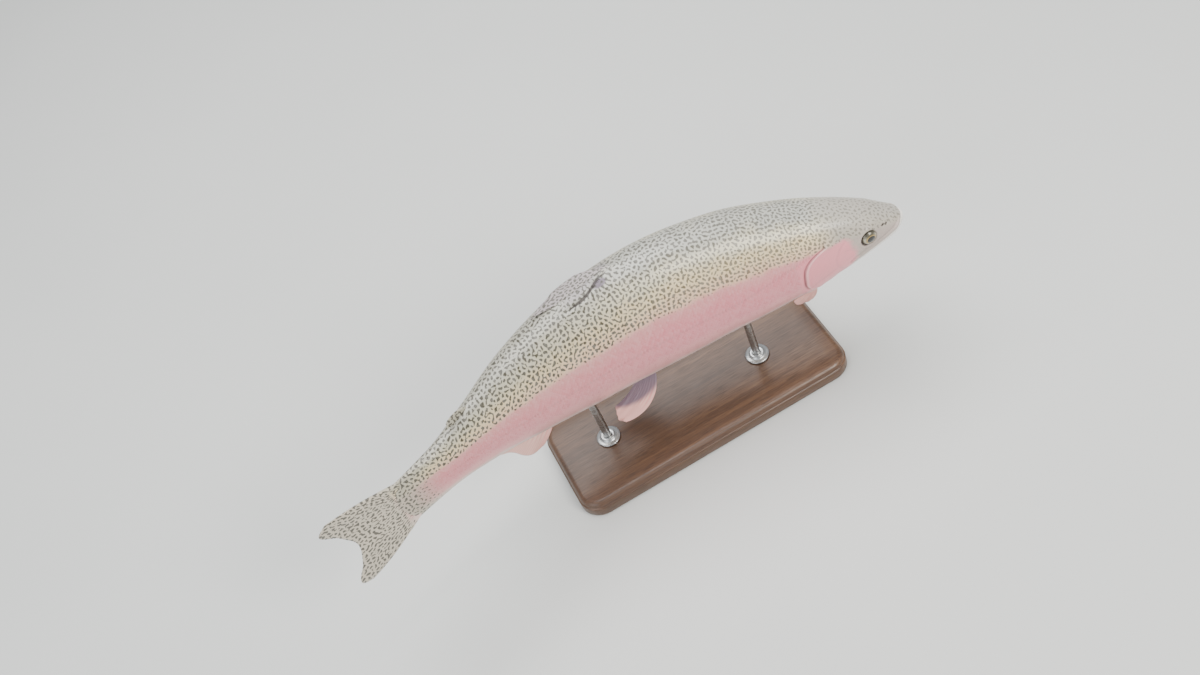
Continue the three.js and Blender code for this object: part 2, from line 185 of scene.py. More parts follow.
def angle_at(s, z):
    """The section angle at which the surface is at height z."""
    top, bottom, _, level = outline(s)
    reach = np.where(z > level, top - level, level - bottom)
    n = np.minimum(1, np.abs(z - level) / np.maximum(reach, 1e-6))
    return np.sign(z - level) * np.arcsin(n ** (1 / roundness(s, z > level)))


# ---------------- landmarks of the head

JAW_BONE = dict(start_s=5.0, start_z=2.6, end_s=57.0, end_z=-14.5, narrow=1.6, wide=3.6)
GILL_LOW, GILL_HIGH = -37.0, 22.0  # heights between which the gill cover's edge is an arch
GILL_EDGE = 104.0  # grid station that follows the gill cover's edge
GILL_LEVEL_S = GILL_EDGE - 9  # s whose section gives the heights along the edge
GILL_FOOT, GILL_LEAN = 83, 5  # s of the arch's lower end, and how far ahead its upper end is
GILL_DEPTH, GILL_FULLNESS = 22, 3.4  # how far back the arch reaches, and how square it is
MEMBRANE_REACH = 31  # how far ahead the membrane's edge runs under the throat
PREOPERCLE = dict(s=48.0, z=-4.0, radius=22.0)
NOSTRILS = [(18.6, 8.4, 1.25, 1.0), (21.9, 9.2, 1.5, 1.0)]  # s, z, half length, half height
CHEEK_SPOKES = (-0.95, -0.45, 0.05, 0.5)  # turns of the seams that run back from the eye
# s and z of the pores round the eye and on the cheek
HEAD_PORES = [(48, -7), (43, -10), (31, -6), (26, -4), (52, 1), (49, 8), (66, 9), (69, 1)]
SWELLS = [  # s, z, length, height and rise
    (EYE["s"], EYE["z"] + 10.5, 10, 3, 1.0),
    (27, 5, 4, 4, -0.7),
    (54, 1, 8, 9, 0.9),
    (20.2, 8.9, 0.7, 1.5, 0.4),
]
SWELLS += [(s, z, 0.6, 0.6, -0.4) for s, z in HEAD_PORES]


def jaw_bone_share(s):
    return np.clip((s - JAW_BONE["start_s"]) / (JAW_BONE["end_s"] - JAW_BONE["start_s"]), 0, 1)


def jaw_bone_middle(s):
    return JAW_BONE["start_z"] + (JAW_BONE["end_z"] - JAW_BONE["start_z"]) * jaw_bone_share(s) ** 0.8


def jaw_bone_half(s):
    return JAW_BONE["narrow"] + (JAW_BONE["wide"] - JAW_BONE["narrow"]) * jaw_bone_share(s)


def mouth_line(s):
    """Height of the mouth's slit, which follows the jaw bone's lower edge and rises to the snout."""
    lip = 1.8 * smooth(s, 6, 0)
    return jaw_bone_middle(s) - jaw_bone_half(s) + lip


def gill_edge(angle):
    """s of the gill cover's rear edge, and under the throat of the gill membrane's edge."""
    _, z = section(np.full_like(angle, GILL_LEVEL_S), angle)
    v = np.clip((z - GILL_LOW) / (GILL_HIGH - GILL_LOW), 0, 1)
    arch = 1 - np.abs(2 * v - 1) ** GILL_FULLNESS
    low_angle = angle_at(np.array(GILL_LEVEL_S), np.array(GILL_LOW))
    under = np.clip((low_angle - angle) / (low_angle + np.pi / 2), 0, 1)
    return GILL_FOOT - GILL_LEAN * v + GILL_DEPTH * arch - MEMBRANE_REACH * under**1.2


# ---------------- the skin's grid

SIDE_CELLS = 110  # cells from the back's ridge to the belly's, on each side
MOUTH_ROW = -0.2  # share of the way up at which a row of the grid follows the mouth
WARP_FROM, WARP_TO = 20.0, 150.0  # stretch over which columns lean into the gill cover's edge
SKIN_END = 537.0
ARC_STEPS = 360  # steps of the table of distances over the skin, from ridge to ridge


def skin_stations():
    """The s of the grid's rings: close together on the head and along the dorsal fin."""
    nose = 9.0 * np.linspace(0.05, 1, 24) ** 1.7
    edge = GILL_EDGE + np.array([-1.3, -0.8, -0.35, 0, 0.3, 0.7, 1.3, 2.0, 2.9, 3.9])
    head = [(9.7, 27, 0.8), (27, 48, 0.5), (48, GILL_EDGE - 1.6, 0.9)]
    trunk = [(GILL_EDGE + 5.2, 150, 2.0), (150, 256, 5.0), (256, 324, 1.3), (324, SKIN_END, 5.0)]
    head, trunk = (np.concatenate([np.arange(*row) for row in rows]) for rows in (head, trunk))
    return np.concatenate([nose, head, edge, trunk, [SKIN_END]])


def grid_angles(stations):
    """Section angles and side signs of the grid, with a row led along the mouth."""
    row = np.arange(2 * SIDE_CELLS)
    share = np.where(row <= SIDE_CELLS, 1 - 2 * row / SIDE_CELLS, -3 + 2 * row / SIDE_CELLS)
    sign = np.where(row <= SIDE_CELLS, -1.0, 1.0)
    at_mouth = np.minimum(angle_at(stations, mouth_line(np.minimum(stations, 60))), np.radians(58))
    shift = (at_mouth - MOUTH_ROW * np.pi / 2) * smooth(stations, 100, 60)
    shift = np.maximum(shift, np.radians(-55))
    tent = np.minimum((share + 1) / (MOUTH_ROW + 1), (1 - share) / (1 - MOUTH_ROW))
    angle = (share * np.pi / 2)[None] + shift[:, None] * tent[None]
    return angle, np.broadcast_to(sign, angle.shape)


def arc_table():
    """Distances over the skin from the back's ridge, by s and by section angle."""
    s = np.arange(0, SKIN_END + 1)
    angle = np.linspace(np.pi / 2, -np.pi / 2, ARC_STEPS + 1)
    side, z = tapered_section(np.maximum(s, 0.5)[:, None], angle[None])
    steps = np.hypot(np.diff(side, axis=1), np.diff(z, axis=1))
    return angle, np.concatenate([np.zeros((len(s), 1)), np.cumsum(steps, axis=1)], axis=1)


def tapered_section(s, angle):
    """Side and z of the body's surface, which narrows on where the body runs into the tail fin."""
    side, z = section(np.minimum(s, STALK_END), angle)
    return side * (1 - 0.45 * smooth(s, STALK_END, SKIN_END)), z


def behind_gill(s, angle):
    """How far s lies behind the gill cover's edge."""
    return s - gill_edge(np.clip(angle, -np.pi / 2, np.radians(26)))


def scaled(s, angle):
    """1 where the skin carries scales: behind the gill opening, and behind the nape on top."""
    degrees = np.degrees(angle)
    nape = 92 - 10 * smooth(degrees, 60, 90) + 12 * smooth(degrees, 44, 30)
    top = smooth(s - nape, -2, 3)
    return np.where(degrees > 28, top, smooth(behind_gill(s, angle), 1, 5))


ARC_ANGLE, ARC = arc_table()


def bilinear(table, row, column):
    """Values between the entries of a table, whose first two axes are row and column."""
    i = np.clip(np.floor(row).astype(int), 0, table.shape[0] - 2)
    j = np.clip(np.floor(column).astype(int), 0, table.shape[1] - 2)
    f, g = row - i, column - j
    if table.ndim == 3:
        f, g = f[..., None], g[..., None]
    near = table[i, j] * (1 - g) + table[i, j + 1] * g
    far = table[i + 1, j] * (1 - g) + table[i + 1, j + 1] * g
    return near * (1 - f) + far * f


def arc_at(s, angle):
    """Distance over the skin from the back's ridge."""
    column = (np.pi / 2 - angle) / np.pi * ARC_STEPS
    return bilinear(ARC, np.clip(s, 0, SKIN_END - 0.01), column)


def half_girth(s):
    """Distance over the skin from the back's ridge to the belly's."""
    return np.interp(s, np.arange(len(ARC)), ARC[:, -1])


# ---------------- relief of the skin


def mouth_relief(s, z):
    above = z - mouth_line(s)
    recess = -1.1 * (above < -0.02) * smooth(above, -10, 0) * smooth(s, 4, 14)
    slit = -1.1 * hump(above + 0.55, 0.6) * (above < 0.1)
    lip = 0.5 * hump(above - 1.4, 1.1) * smooth(s, 20, 8)
    lower_lip = 0.7 * hump(above + 2.4, 1.2)
    return band(s, 0.1, 0.8, 48, 56) * (recess + slit + lip + lower_lip)


def jaw_bone_inside(s, z):
    """How far a point lies inside the jaw bone's outline, and its height over the bone's middle."""
    round_end = np.sqrt(np.maximum(0.0, 1 - np.clip((jaw_bone_share(s) - 0.8) / 0.2, 0, 1) ** 2))
    half = jaw_bone_half(s) * round_end
    off = z - jaw_bone_middle(s)
    return half - np.abs(off), off


def jaw_bone_relief(s, z):
    inside, _ = jaw_bone_inside(s, z)
    return 1.1 * smooth(inside, -0.1, 1.1) * smooth(s, 3, 9) * (s < JAW_BONE["end_s"])


def eye_distance(s, z):
    return np.hypot(s - EYE["s"], z - EYE["z"])


def eye_relief(s, z):
    """The socket, with a rim and a furrow round it."""
    r = eye_distance(s, z)
    socket = -1.3 * smooth(r, 7.6, 5.0) - 1.5 * smooth(r, 8.7, 7.0)
    return socket + 0.4 * hump(r - 9.2, 1.0) - 0.3 * hump(r - 12.0, 1.4)


def nostril_distances(s, z):
    """Distance from the middle of each nostril, as a share of its size."""
    return [np.hypot((s - at_s) / long, (z - at_z) / high) for at_s, at_z, long, high in NOSTRILS]


def nostril_relief(s, z):
    return sum(0.12 * hump(r - 1.6, 0.5) - 1.1 * smooth(r, 1.2, 0.4) for r in nostril_distances(s, z))


def swell_relief(s, z):
    """The head's low swellings and hollows, and its pores."""
    h = 0.0
    for at_s, at_z, long, high, rise in SWELLS:
        h = h + rise * hump(s - at_s, long) * hump(z - at_z, high)
    return h


def cheek_ring(s, z):
    """Distance outside the rear edge of the preopercle, and where that edge shows."""
    ring = np.hypot(s - PREOPERCLE["s"], z - PREOPERCLE["z"]) - PREOPERCLE["radius"]
    return ring, smooth(s, 48, 56) * band(z, -34, -26, 14, 22)


def lower_cover_seam(s, z):
    """Height over the seam between the gill cover's upper and lower plates."""
    return z + 13 + (s - 73) * 0.42 - 2.0 * smooth(s, 84, 100)


def head_seams(s, z, degrees, behind):
    """Strength of the creases between the head's bones, 0 to 1."""
    ahead = smooth(behind, 0, -2)
    ring, rear = cheek_ring(s, z)
    inside, off = jaw_bone_inside(s, z)
    r = eye_distance(s, z)
    seams = [
        0.45 * hump(ring - 0.6, 1.0) * rear,
        hump(lower_cover_seam(s, z), 0.6) * smooth(s, 70, 73) * ahead * smooth(degrees, 30, 22),
        hump(z + 25.5 + (s - 58) * 0.3, 0.6) * smooth(s, 57, 61) * ahead,
        hump(inside + 0.5, 0.6) * smooth(s, 8, 14) * (s < 58.5) * (off > -2.5),
        0.6 * hump(off - 0.9, 0.45) * band(s, 30, 36, 52, 56),
        0.5 * hump(r - 13.6 - 0.06 * (s - 37), 0.7) * smooth(z, 4, -2) * smooth(s, 26, 32),
    ]
    on_cheek = 0.45 * smooth(r, 14, 15.5) * smooth(ring, -3, -6)
    for turn in CHEEK_SPOKES:
        bend = np.arctan2(z - EYE["z"], s - EYE["s"]) - turn
        seams.append(hump(bend * r, 0.6) * on_cheek)
    return np.max(seams, axis=0) * smooth(degrees, -78, -62)


def gill_cover_relief(s, z, degrees, behind):
    """The plates of the head's side, and the step down behind the gill cover's edge."""
    open_part = smooth(degrees, 36, 24) * (0.55 + 0.45 * smooth(degrees, -75, -55))
    ahead = behind <= 0.01
    plate = (0.9 * smooth(behind, -16, -3) - 0.7 * smooth(behind, -1.2, 0)) * ahead
    cleft = -2.2 * np.exp(-np.maximum(behind, 0) / 2.2) * (~ahead)
    step = open_part * (plate + cleft - 0.4 * hump(behind + 3.6, 0.6))
    ring, rear = cheek_ring(s, z)
    crown = 0.7 * hump(s - 85, 10) * hump(z - 1, 11) * ahead
    on_cover = smooth(s, 71, 74) * ahead * smooth(degrees, 30, 22) * smooth(lower_cover_seam(s, z), 1, 4)
    striae = 0.09 * np.cos(40 * np.arctan2(z - 13, s - 70)) * on_cover
    return step + 0.35 * hump(ring + 3.0, 3.0) * rear + striae + crown


def throat_relief(s, side, degrees, behind):
    """The gill membrane's rays, the rim and floor of the lower jaw, and the furrow behind them."""
    rays = 0.22 * np.cos(2 * np.pi * behind / 2.7) * band(behind, -24, -18, -2.5, -0.8)
    rays = rays * smooth(degrees, -88, -80) * smooth(s, 38, 46)
    out = np.abs(side) / np.maximum(outline(s)[2], 1)
    chin = (0.5 * hump(out - 0.55, 0.12) - 0.8 * smooth(out, 0.42, 0.2)) * band(s, 5, 9, 40, 50)
    furrow = -1.2 * hump(side, 1.3) * band(s, 34, 44, 60, 74)
    return (rays + chin + furrow) * smooth(degrees, -48, -62)


def lateral_line(s):
    """Height of the lateral line along the body."""
    return 1.5 + 17 * smooth(s, 190, 84)


def head_relief(s, side, z, degrees, behind):
    on_side = smooth(degrees, -75, -50)
    h = on_side * (mouth_relief(s, z) + jaw_bone_relief(s, z)) - 0.55 * head_seams(s, z, degrees, behind)
    h = h + eye_relief(s, z) + nostril_relief(s, z) + swell_relief(s, z)
    return h + gill_cover_relief(s, z, degrees, behind) + throat_relief(s, side, degrees, behind)


# ---------------- fins

DORSAL_TILT = np.radians(74)  # folded over towards the fish's left
UPPER_LOBE = [
    [0, 72, 63, 16],
    [0.11, 82, 69, 14],
    [0.28, 68, 79, 6],
    [0.5, 59, 90, 0],
]
LOWER_LOBE = [[1 - q, length, 180 - lean, -bow] for q, length, lean, bow in UPPER_LOBE[-2::-1]]

# root: the feet of the first and last ray, as (s, side, z). out and back span the fin's plane.
# rays: share along the root, length, lean from out towards back and how much that grows by the
# tip. thick: at the root and the margin. count: rays. pale: 1 on a fin without spots.
FINS = {
    "dorsal_fin": dict(
        root=[(256, 0, 74.5), (320, 0, 69.5)],
        out=(0, np.sin(DORSAL_TILT), np.cos(DORSAL_TILT)),
        back=(1, 0, -0.08),
        rays=[[0, 40, 60, 14], [0.2, 47, 64, 12], [0.6, 40, 68, 12], [1, 27, 70, 10]],
        thick=(3.0, 0.6), curl=2.0, wave=0.8, count=13, pale=0.0, ripple=0.5,
    ),
    "adipose_fin": dict(
        root=[(432, 0, 37), (445, 0, 34)],
        out=(0, 0, 1),
        back=(1, 0, -0.25),
        rays=[[0, 19, 36, 26], [0.5, 23, 44, 26], [1, 17, 62, 20]],
        thick=(3.4, 1.3), curl=-1.0, wave=0.0, count=0, pale=0.0, ripple=0.0,
    ),
    "anal_fin": dict(
        root=[(368, 0, -47), (421, 0, -35)],
        out=(0, -0.08, -1),
        back=(1, 0, 0.22),
        rays=[[0, 44, 26, 20], [0.15, 49, 32, 20], [0.55, 34, 42, 18], [1, 23, 52, 16]],
        thick=(3.2, 0.6), curl=-2.0, wave=1.5, count=12, pale=0.8, ripple=0.3,
    ),
    "tail_fin": dict(
        root=[(STALK_END - 4, 0, 27.5), (STALK_END - 4, 0, -26.5)],
        out=(0, 0, 1),
        back=(1, 0, 0),
        rays=UPPER_LOBE + LOWER_LOBE,
        thick=(5.2, 0.6), curl=1.5, wave=2.5, count=24, pale=0.0, ripple=0.4,
    ),
}
for _name, _side in SIDES.items():
    FINS[f"pectoral_fin_{_name}"] = dict(
        root=[(93, _side * 22.8, -35), (104, _side * 18.5, -43)],
        out=(0, _side * -0.28, -0.96),
        back=(1, _side * 0.1, -0.12),
        rays=[[0, 31, -3, 24], [0.2, 34, 2, 26], [0.6, 29, 14, 28], [1, 18, 32, 26]],
        thick=(3.8, 0.6), curl=_side * 2.0, wave=_side * 1.0, count=13, pale=1.0, ripple=0.3,
    )
    FINS[f"pelvic_fin_{_name}"] = dict(
        root=[(267, _side * 20, -57), (287, _side * 15, -60)],
        out=(0, _side * 0.8, -0.6),
        back=(1, _side * 0.05, -0.06),
        rays=[[0, 58, 14, 104], [0.2, 56, 30, 80], [0.6, 46, 47, 50], [1, 33, 57, 36]],
        thick=(3.4, 0.6), curl=_side * 1.0, wave=_side * 1.0, count=10, pale=1.0, ripple=0.3,
    )
PADDED_FINS = [fin for name, fin in FINS.items() if name != "tail_fin"]
FIN_STEPS = 27  # steps from root to margin
STEPS_PER_RAY = 6


def ridges(q, count):
    """Waves between 0 and 1, with as many crests as count says."""
    return 0.5 + 0.5 * np.cos(2 * np.pi * (q * count - 0.5))


def ray_relief(q, t, count):
    """0 between the rays and 1 on them. The rays fork on their way out."""
    if not count:
        return np.zeros(np.broadcast(q, t).shape)
    fork = smooth(t, 0.45, 0.75)
    return (ridges(q, count) * (1 - fork) + ridges(q, 2 * count) * fork) ** 0.8


def fin_sheets(fin, rng):
    """Both faces of a fin, as arrays of face, step and ray column, with what its markings need."""
    count, (thick, thin) = fin["count"], fin["thick"]
    q = np.linspace(0, 1, max(count * STEPS_PER_RAY, 24) + 1)[None]
    t = np.linspace(0, 1, FIN_STEPS + 1)[:, None]
    out, back = unit(fin["out"]), unit(fin["back"])
    across = np.cross(out, back)
    length, lean, bow = np.moveaxis(smooth_table(fin["rays"])(q[0]), -1, 0)
    relief = ray_relief(q, t, count)
    worn = np.interp(q[0], np.linspace(0, 1, 9), rng.uniform(-0.012, 0.012, 9))
    length = length * (1 + worn + 0.012 * (ridges(q[0], 2 * count) - 1) * (count > 0))
    angle = np.radians(lean + bow * t / 2)
    first, last = (np.array(foot, float) for foot in fin["root"])
    foot = first * (1 - q[..., None]) + last * q[..., None]
    bend = (fin["curl"] + fin["wave"] * np.sin(2 * np.pi * q)) * t**2
    bend = bend + fin["ripple"] * np.sin(2 * np.pi * (3.3 * q + 0.7 * t)) * smooth(t, 0.1, 0.8)
    along = (length * t)[..., None]
    middle = foot + along * (np.cos(angle)[..., None] * out + np.sin(angle)[..., None] * back)
    middle = middle + bend[..., None] * across
    edge = np.sqrt(1 - np.clip(1 - np.minimum(q, 1 - q) / 0.03, 0, 0.93) ** 2)
    half = (thick + (thin - thick) * t**0.6) / 2
    half = (half - 0.12 + 0.26 * relief * band(t, 0, 0.15, 0.8, 1.02)) * edge
    faces = np.stack([middle + half[..., None] * across, middle - half[..., None] * across])
    return faces, *(np.broadcast_to(v, faces.shape[:3]) for v in (q, t, relief))


# ---------------- markings


def body_height(s, z):
    """-1 on the belly's ridge, 0 at the spine and 1 on the back's ridge."""
    top, bottom, _, _ = outline(np.clip(s, 1, STALK_END))
    return np.clip(np.where(z > 0, z / top, -z / bottom), -1.2, 1.2)


def cheek_mask(s, z):
    """The red of the cheek and gill cover, which starts behind the eye and the jaw bone."""
    behind_eye = smooth(s - 0.3 * np.abs(z + 2), 41, 60)
    return behind_eye * smooth(s, 112, 104) * band(z, -42, -30, 13, 24)


def jaw_mask(s, z, degrees):
    """The pale lower jaw and throat."""
    below = smooth(z - mouth_line(s), 0.2, -0.6) * smooth(s, 62, 46)
    throat = smooth(degrees, -44, -60) * smooth(s, 100, 84)
    return np.maximum(below, throat)


def fin_root_distance(s, side, z, fin):
    """Distance to the line of a fin's root, in the fish's own coordinates."""
    a, b = (np.array(p, float) for p in fin["root"])
    p = np.stack(np.broadcast_arrays(s, side, z), -1)
    t = np.clip(((p - a) @ (b - a)) / ((b - a) @ (b - a)), 0, 1)
    return np.linalg.norm(p - a - t[..., None] * (b - a), axis=-1)


def root_relief(s, side, z):
    """Low pads of flesh that the fins stand on."""
    return sum(1.3 * hump(fin_root_distance(s, side, z, fin), 5.0) for fin in PADDED_FINS)


# ---------------- meshes

SKIN_UV = dict(u=(0.01, 0.99), v=(0.32, 0.99))  # where the body lies on the unwrap
FINS_UV_TOP = 0.3
MARKS = ("height", "cheek", "head", "jaw", "fin", "pale", "ray", "dark", "rim", "sheen_and_gloss", "lilac", "eye")
EYE_MARK_REACH = 20  # the eye mark falls from this, at the eye's middle, to 0
FIN_SPOTS_APART = 900  # keeps the fins' part of the spots' pattern away from the body's
TAIL_HALF_HEIGHT = 29  # height on the tail fin's root that counts as the back's ridge


def grid_quads(rows, columns, wrap):
    """Corner indices of a grid's quads, and each corner's row and unwrapped column."""
    i, j = np.meshgrid(np.arange(rows - 1), np.arange(columns if wrap else columns - 1), indexing="ij")
    row = i.reshape(-1, 1) + np.array([0, 0, 1, 1])
    column = j.reshape(-1, 1) + np.array([0, 1, 1, 0])
    return row * columns + column % columns, row, column


def closed_faces(rows, columns):
    """A wrapped grid's quads, and fans at its first and last row to two middle points after it."""
    quads, _, _ = grid_quads(rows, columns, wrap=True)
    ring = np.arange(columns)
    after, middle = (ring + 1) % columns, np.full(columns, rows * columns)
    last = (rows - 1) * columns
    fans = [np.stack([ring, after, middle], -1), np.stack([last + after, last + ring, middle + 1], -1)]
    return [quads[:, ::-1], *fans]


class Build:
    """Gathers points, faces, unwrap and markings, and makes one mesh of them."""

    def __init__(self):
        self.points, self.faces, self.uvs = [], [], []
        self.marks = {name: [] for name in (*MARKS, "spot_x", "spot_y")}
        self.count = 0

    def add(self, points, faces, uvs, **marks):
        """points: (n, 3) in mm. faces: a list of index arrays. uvs: their corners' places."""
        points = np.asarray(points).reshape(-1, 3)
        self.points.append(points)
        for face, uv in zip(faces, uvs):
            self.faces.append(np.asarray(face) + self.count)
            self.uvs.append(np.asarray(uv).reshape(-1, 2))
        for name, values in self.marks.items():
            values.append(np.broadcast_to(np.ravel(marks.get(name, 0.0)), len(points)))
        self.count += len(points)

    def mesh(self, name, sharp_deg=None):
        data = bpy.data.meshes.new(name)
        points = np.concatenate(self.points) * MM
        corners = np.concatenate([f.ravel() for f in self.faces]).astype(np.int32)
        sizes = np.concatenate([np.full(len(f), f.shape[1]) for f in self.faces])
        starts = np.concatenate([[0], np.cumsum(sizes)[:-1]]).astype(np.int32)
        data.vertices.add(len(points))
        data.vertices.foreach_set("co", points.ravel())
        data.loops.add(len(corners))
        data.loops.foreach_set("vertex_index", corners)
        data.polygons.add(len(sizes))
        data.polygons.foreach_set("loop_start", starts)
        data.update(calc_edges=True)
        layer = data.uv_layers.new(name="OFBake")
        layer.data.foreach_set("uv", np.concatenate(self.uvs).ravel())
        for key, values in self.marks.items():
            attribute = data.attributes.new(key, "FLOAT", "POINT")
            attribute.data.foreach_set("value", np.concatenate(values).astype(np.float32))
        data.shade_smooth()
        if sharp_deg:
            data.set_sharp_from_angle(angle=np.radians(sharp_deg))
        data.validate()
        piece = bpy.data.objects.new(name, data)
        bpy.context.scene.collection.objects.link(piece)
        return piece


CREASE_FROM, CREASE_TO = (262.0, 2.5), (303.0, -10.5)  # s and arc where the dorsal fold bends
FINER_SPOTS, FINER_FROM, FINER_TO = 0.2, 190.0, 70.0  # the spots get this much finer towards the head


def spot_places(s, arc):
    """Coordinates of the spots' pattern: s and arc themselves on the trunk, closer on the head."""
    at = np.arange(0, SKIN_END + 3)
    finer = 1 + FINER_SPOTS * smooth(at, FINER_FROM, FINER_TO)
    along = np.cumsum(finer) - np.sum(finer) + at[-1]
    return np.interp(s, at, along), arc * np.interp(s, at, finer)


def dorsal_crease(s, arc):
    """Distance from the fold beside the laid-down dorsal fin, and how strong the fold is there."""
    (from_s, from_arc), (to_s, to_arc) = CREASE_FROM, CREASE_TO
    middle = from_arc + (to_arc - from_arc) * smooth(s, from_s, to_s)
    return arc - middle, band(s, 257, 272, 306, 326)


def dorsal_relief(s, arc):
    """The skin swells towards the fin's root, and drops into a narrow fold on the near side."""
    off, strength = dorsal_crease(s, arc)
    fold = 1.1 * band(off, 0.2, 1.2, 3, 14) - 1.5 * hump(off + 0.3, 1.1)
    return strength * fold + 0.7 * hump(s - 286, 7) * hump(off + 4.5, 2.2)


def body_marks(s, z, angle, left):
    """What the skin's material needs to know at each point of the body."""
    arc = left * arc_at(s, angle)
    off, fold = dorsal_crease(s, arc)
    degrees = np.degrees(angle)
    behind = behind_gill(s, angle)
    # The dark mark is painted shade: in the mouth's slit, the gill slit behind the cover, the nostrils
    # and the seams between the head's bones.
    wide = 0.6 + 0.4 * smooth(s, 26, 12) - 0.65 * smooth(s, 10, 5)
    slit = hump(z - mouth_line(s) + wide, wide) * band(s, 0.1, 0.8, 48, 54)
    cleft = 0.5 * band(behind, -0.3, 0.2, 0.4, 2.4) * smooth(degrees, 34, 24)
    holes = sum(smooth(r, 1.1, 0.7) for r in nostril_distances(s, z))
    seams = 0.2 * head_seams(s, z, degrees, behind)
    rim = 0.3 * hump(behind + 1.2, 1.0) * smooth(degrees, 32, 24)
    spot_x, spot_y = spot_places(s + 0 * z, arc)
    return dict(
        height=body_height(s, z),
        cheek=cheek_mask(s, z) * (degrees < 40),
        head=smooth(s, 92, 60),
        jaw=np.maximum(jaw_mask(s, z, degrees), rim),
        dark=np.clip(slit + cleft + holes + seams, 0, 1),
        eye=np.maximum(0, EYE_MARK_REACH - eye_distance(s, z)),
        # Painted shade: lilac beside the dorsal fold, on the side towards the fin.
        lilac=0.45 * fold * band(off, 0.5, 4, 14, 26),
        fin=0.9 * smooth(s, 486, 527),
        spot_x=spot_x,
        spot_y=spot_y,
    )


def body_relief(s, side, z, angle):
    """Height of everything that stands out of the body's plain section, or is sunk in it."""
    behind = behind_gill(s, angle)
    h = head_relief(s, side, z, np.degrees(angle), behind) + root_relief(s, side, z)
    arc = np.where(side < 0, -1, 1) * arc_at(s, angle)
    return h + dorsal_relief(s, arc) - COAT_DEPTH * scaled(s, angle)


def body_surface(stations):
    """The body's grid in fish coordinates, with its section angles and its sides' signs."""
    angle, left = grid_angles(stations)
    ahead = (stations - WARP_FROM) / (GILL_EDGE - WARP_FROM)
    after = (WARP_TO - stations) / (WARP_TO - GILL_EDGE)
    lead = np.clip(np.minimum(ahead, after), 0, 1)
    s = stations[:, None] - lead[:, None] * behind_gill(GILL_EDGE, angle)
    side, z = tapered_section(s, angle)
    return s, left * side, z, angle, left


def displaced(points, height):
    """Moves a closed grid's points along its normals."""
    along = np.gradient(points, axis=0)
    around = np.roll(points, -1, axis=1) - np.roll(points, 1, axis=1)
    return points + unit(np.cross(along, around)) * height[..., None]


def body_uv(s, way_round):
    """Place on the unwrap, from s and the share of the way round the body."""
    (left, right), (low, high) = SKIN_UV["u"], SKIN_UV["v"]
    u, v = left + (right - left) * s / SKIN_END, low + (high - low) * way_round
    return np.stack(np.broadcast_arrays(u, v), -1)


def add_body(build):
    s, side, z, angle, left = body_surface(skin_stations())
    rows, columns = s.shape
    points = displaced(place(s, side, z), body_relief(s, side, z, angle))
    caps = [points[0].mean(axis=0), points[-1].mean(axis=0)]
    _, row, column = (corner[:, ::-1] for corner in grid_quads(rows, columns, wrap=True))
    uvs = [body_uv(s[row, column % columns], column / columns)]
    nose, tail = s[0, 0], s[-1, 0]
    for fan in [((nose, 0), (nose, 1), (0, 0.5)), ((tail, 1), (tail, 0), (tail + 0.5, 0.5))]:
        corners = [body_uv(at, (np.arange(columns) + step) / columns) for at, step in fan]
        uvs.append(np.stack(corners, 1))
    marks = body_marks(s, z, angle, left)
    marks = {name: np.append(v, [np.ravel(v)[0], np.ravel(v)[-1]]) for name, v in marks.items()}
    build.add(np.concatenate([points.reshape(-1, 3), caps]), closed_faces(rows, columns), uvs, **marks)


def around_fin(values):
    """Both faces of a fin as one grid, whose columns run up one face and back down the other."""
    return np.concatenate([values[0], values[1][:, ::-1]], axis=1)


def fin_marks(name, fin, s, side, z, q, t):
    """What the skin's material needs to know on a fin, q along its root and t out to its margin."""
    shown = smooth(t, 0.03, 0.22)
    leading = smooth(q, 0.13, 0.03) * smooth(t, 0.05, 0.3)
    marks = dict(
        height=np.clip(0.85 - 1.7 * fin["pale"], -0.6, 1),
        fin=shown,
        pale=fin["pale"] * shown + leading * (fin["pale"] > 0.5),
        spot_x=s + 37,
        spot_y=z + FIN_SPOTS_APART,
    )
    if name == "tail_fin":
        level = np.clip(fin["root"][0][2] * (1 - 2 * q) / TAIL_HALF_HEIGHT, -0.8, 0.95)
        marks.update(height=level, spot_x=0.85 * s, spot_y=105 * q + FIN_SPOTS_APART)
    if name == "dorsal_fin":
        # Painted shade: the laid-down dorsal fin takes the back's colour, darkened with lilac away from
        # its root.
        marks.update(height=1.0, fin=0.25 * shown, lilac=0.55 * smooth(t, 0.0, 0.3))
        marks.update(spot_y=1.5 * side + FIN_SPOTS_APART)
    if name.startswith("pelvic"):
        # Painted shadow of the body across the pelvic fin: lilac and darker over its inner part.
        lilac = smooth(t - 0.25 - 0.8 * q, 0.12, -0.12)
        marks.update(lilac=lilac, dark=0.4 * lilac)
    return marks


def add_fin(build, name, fin, slot, rng):
    faces, q, t, relief = fin_sheets(fin, rng)
    _, steps, columns, _ = faces.shape
    loop = around_fin(faces)
    quads, row, column = grid_quads(steps, 2 * columns, wrap=True)
    j = np.arange(columns - 1)
    mate = 2 * columns - 1 - j
    root_cap = np.stack([j + 1, j, mate, mate - 1], -1)
    margin_cap = np.stack([j, j + 1, mate - 1, mate], -1) + (steps - 1) * 2 * columns
    facing = np.cross(loop[0, 1] - loop[0, 0], loop[1, 0] - loop[0, 0])
    if facing @ (faces[0, 1, 1] - faces[1, 1, 1]) > 0:
        turned = (quads, row, column, root_cap, margin_cap)
        quads, row, column, root_cap, margin_cap = (corner[:, ::-1] for corner in turned)
    left, width = slot
    u = left + width * column / (2 * columns)
    v = 0.01 + (FINS_UV_TOP - 0.02) * row / (steps - 1)
    cap_uv = np.broadcast_to([left, 0.005], (len(j), 4, 2))
    s, side, z = np.moveaxis(loop, -1, 0)
    marks = fin_marks(name, fin, s, side, z, around_fin(q), around_fin(t))
    uvs = [np.stack([u, v], -1), cap_uv, cap_uv]
    build.add(place(s, side, z), [quads, root_cap, margin_cap], uvs, ray=around_fin(relief), **marks)


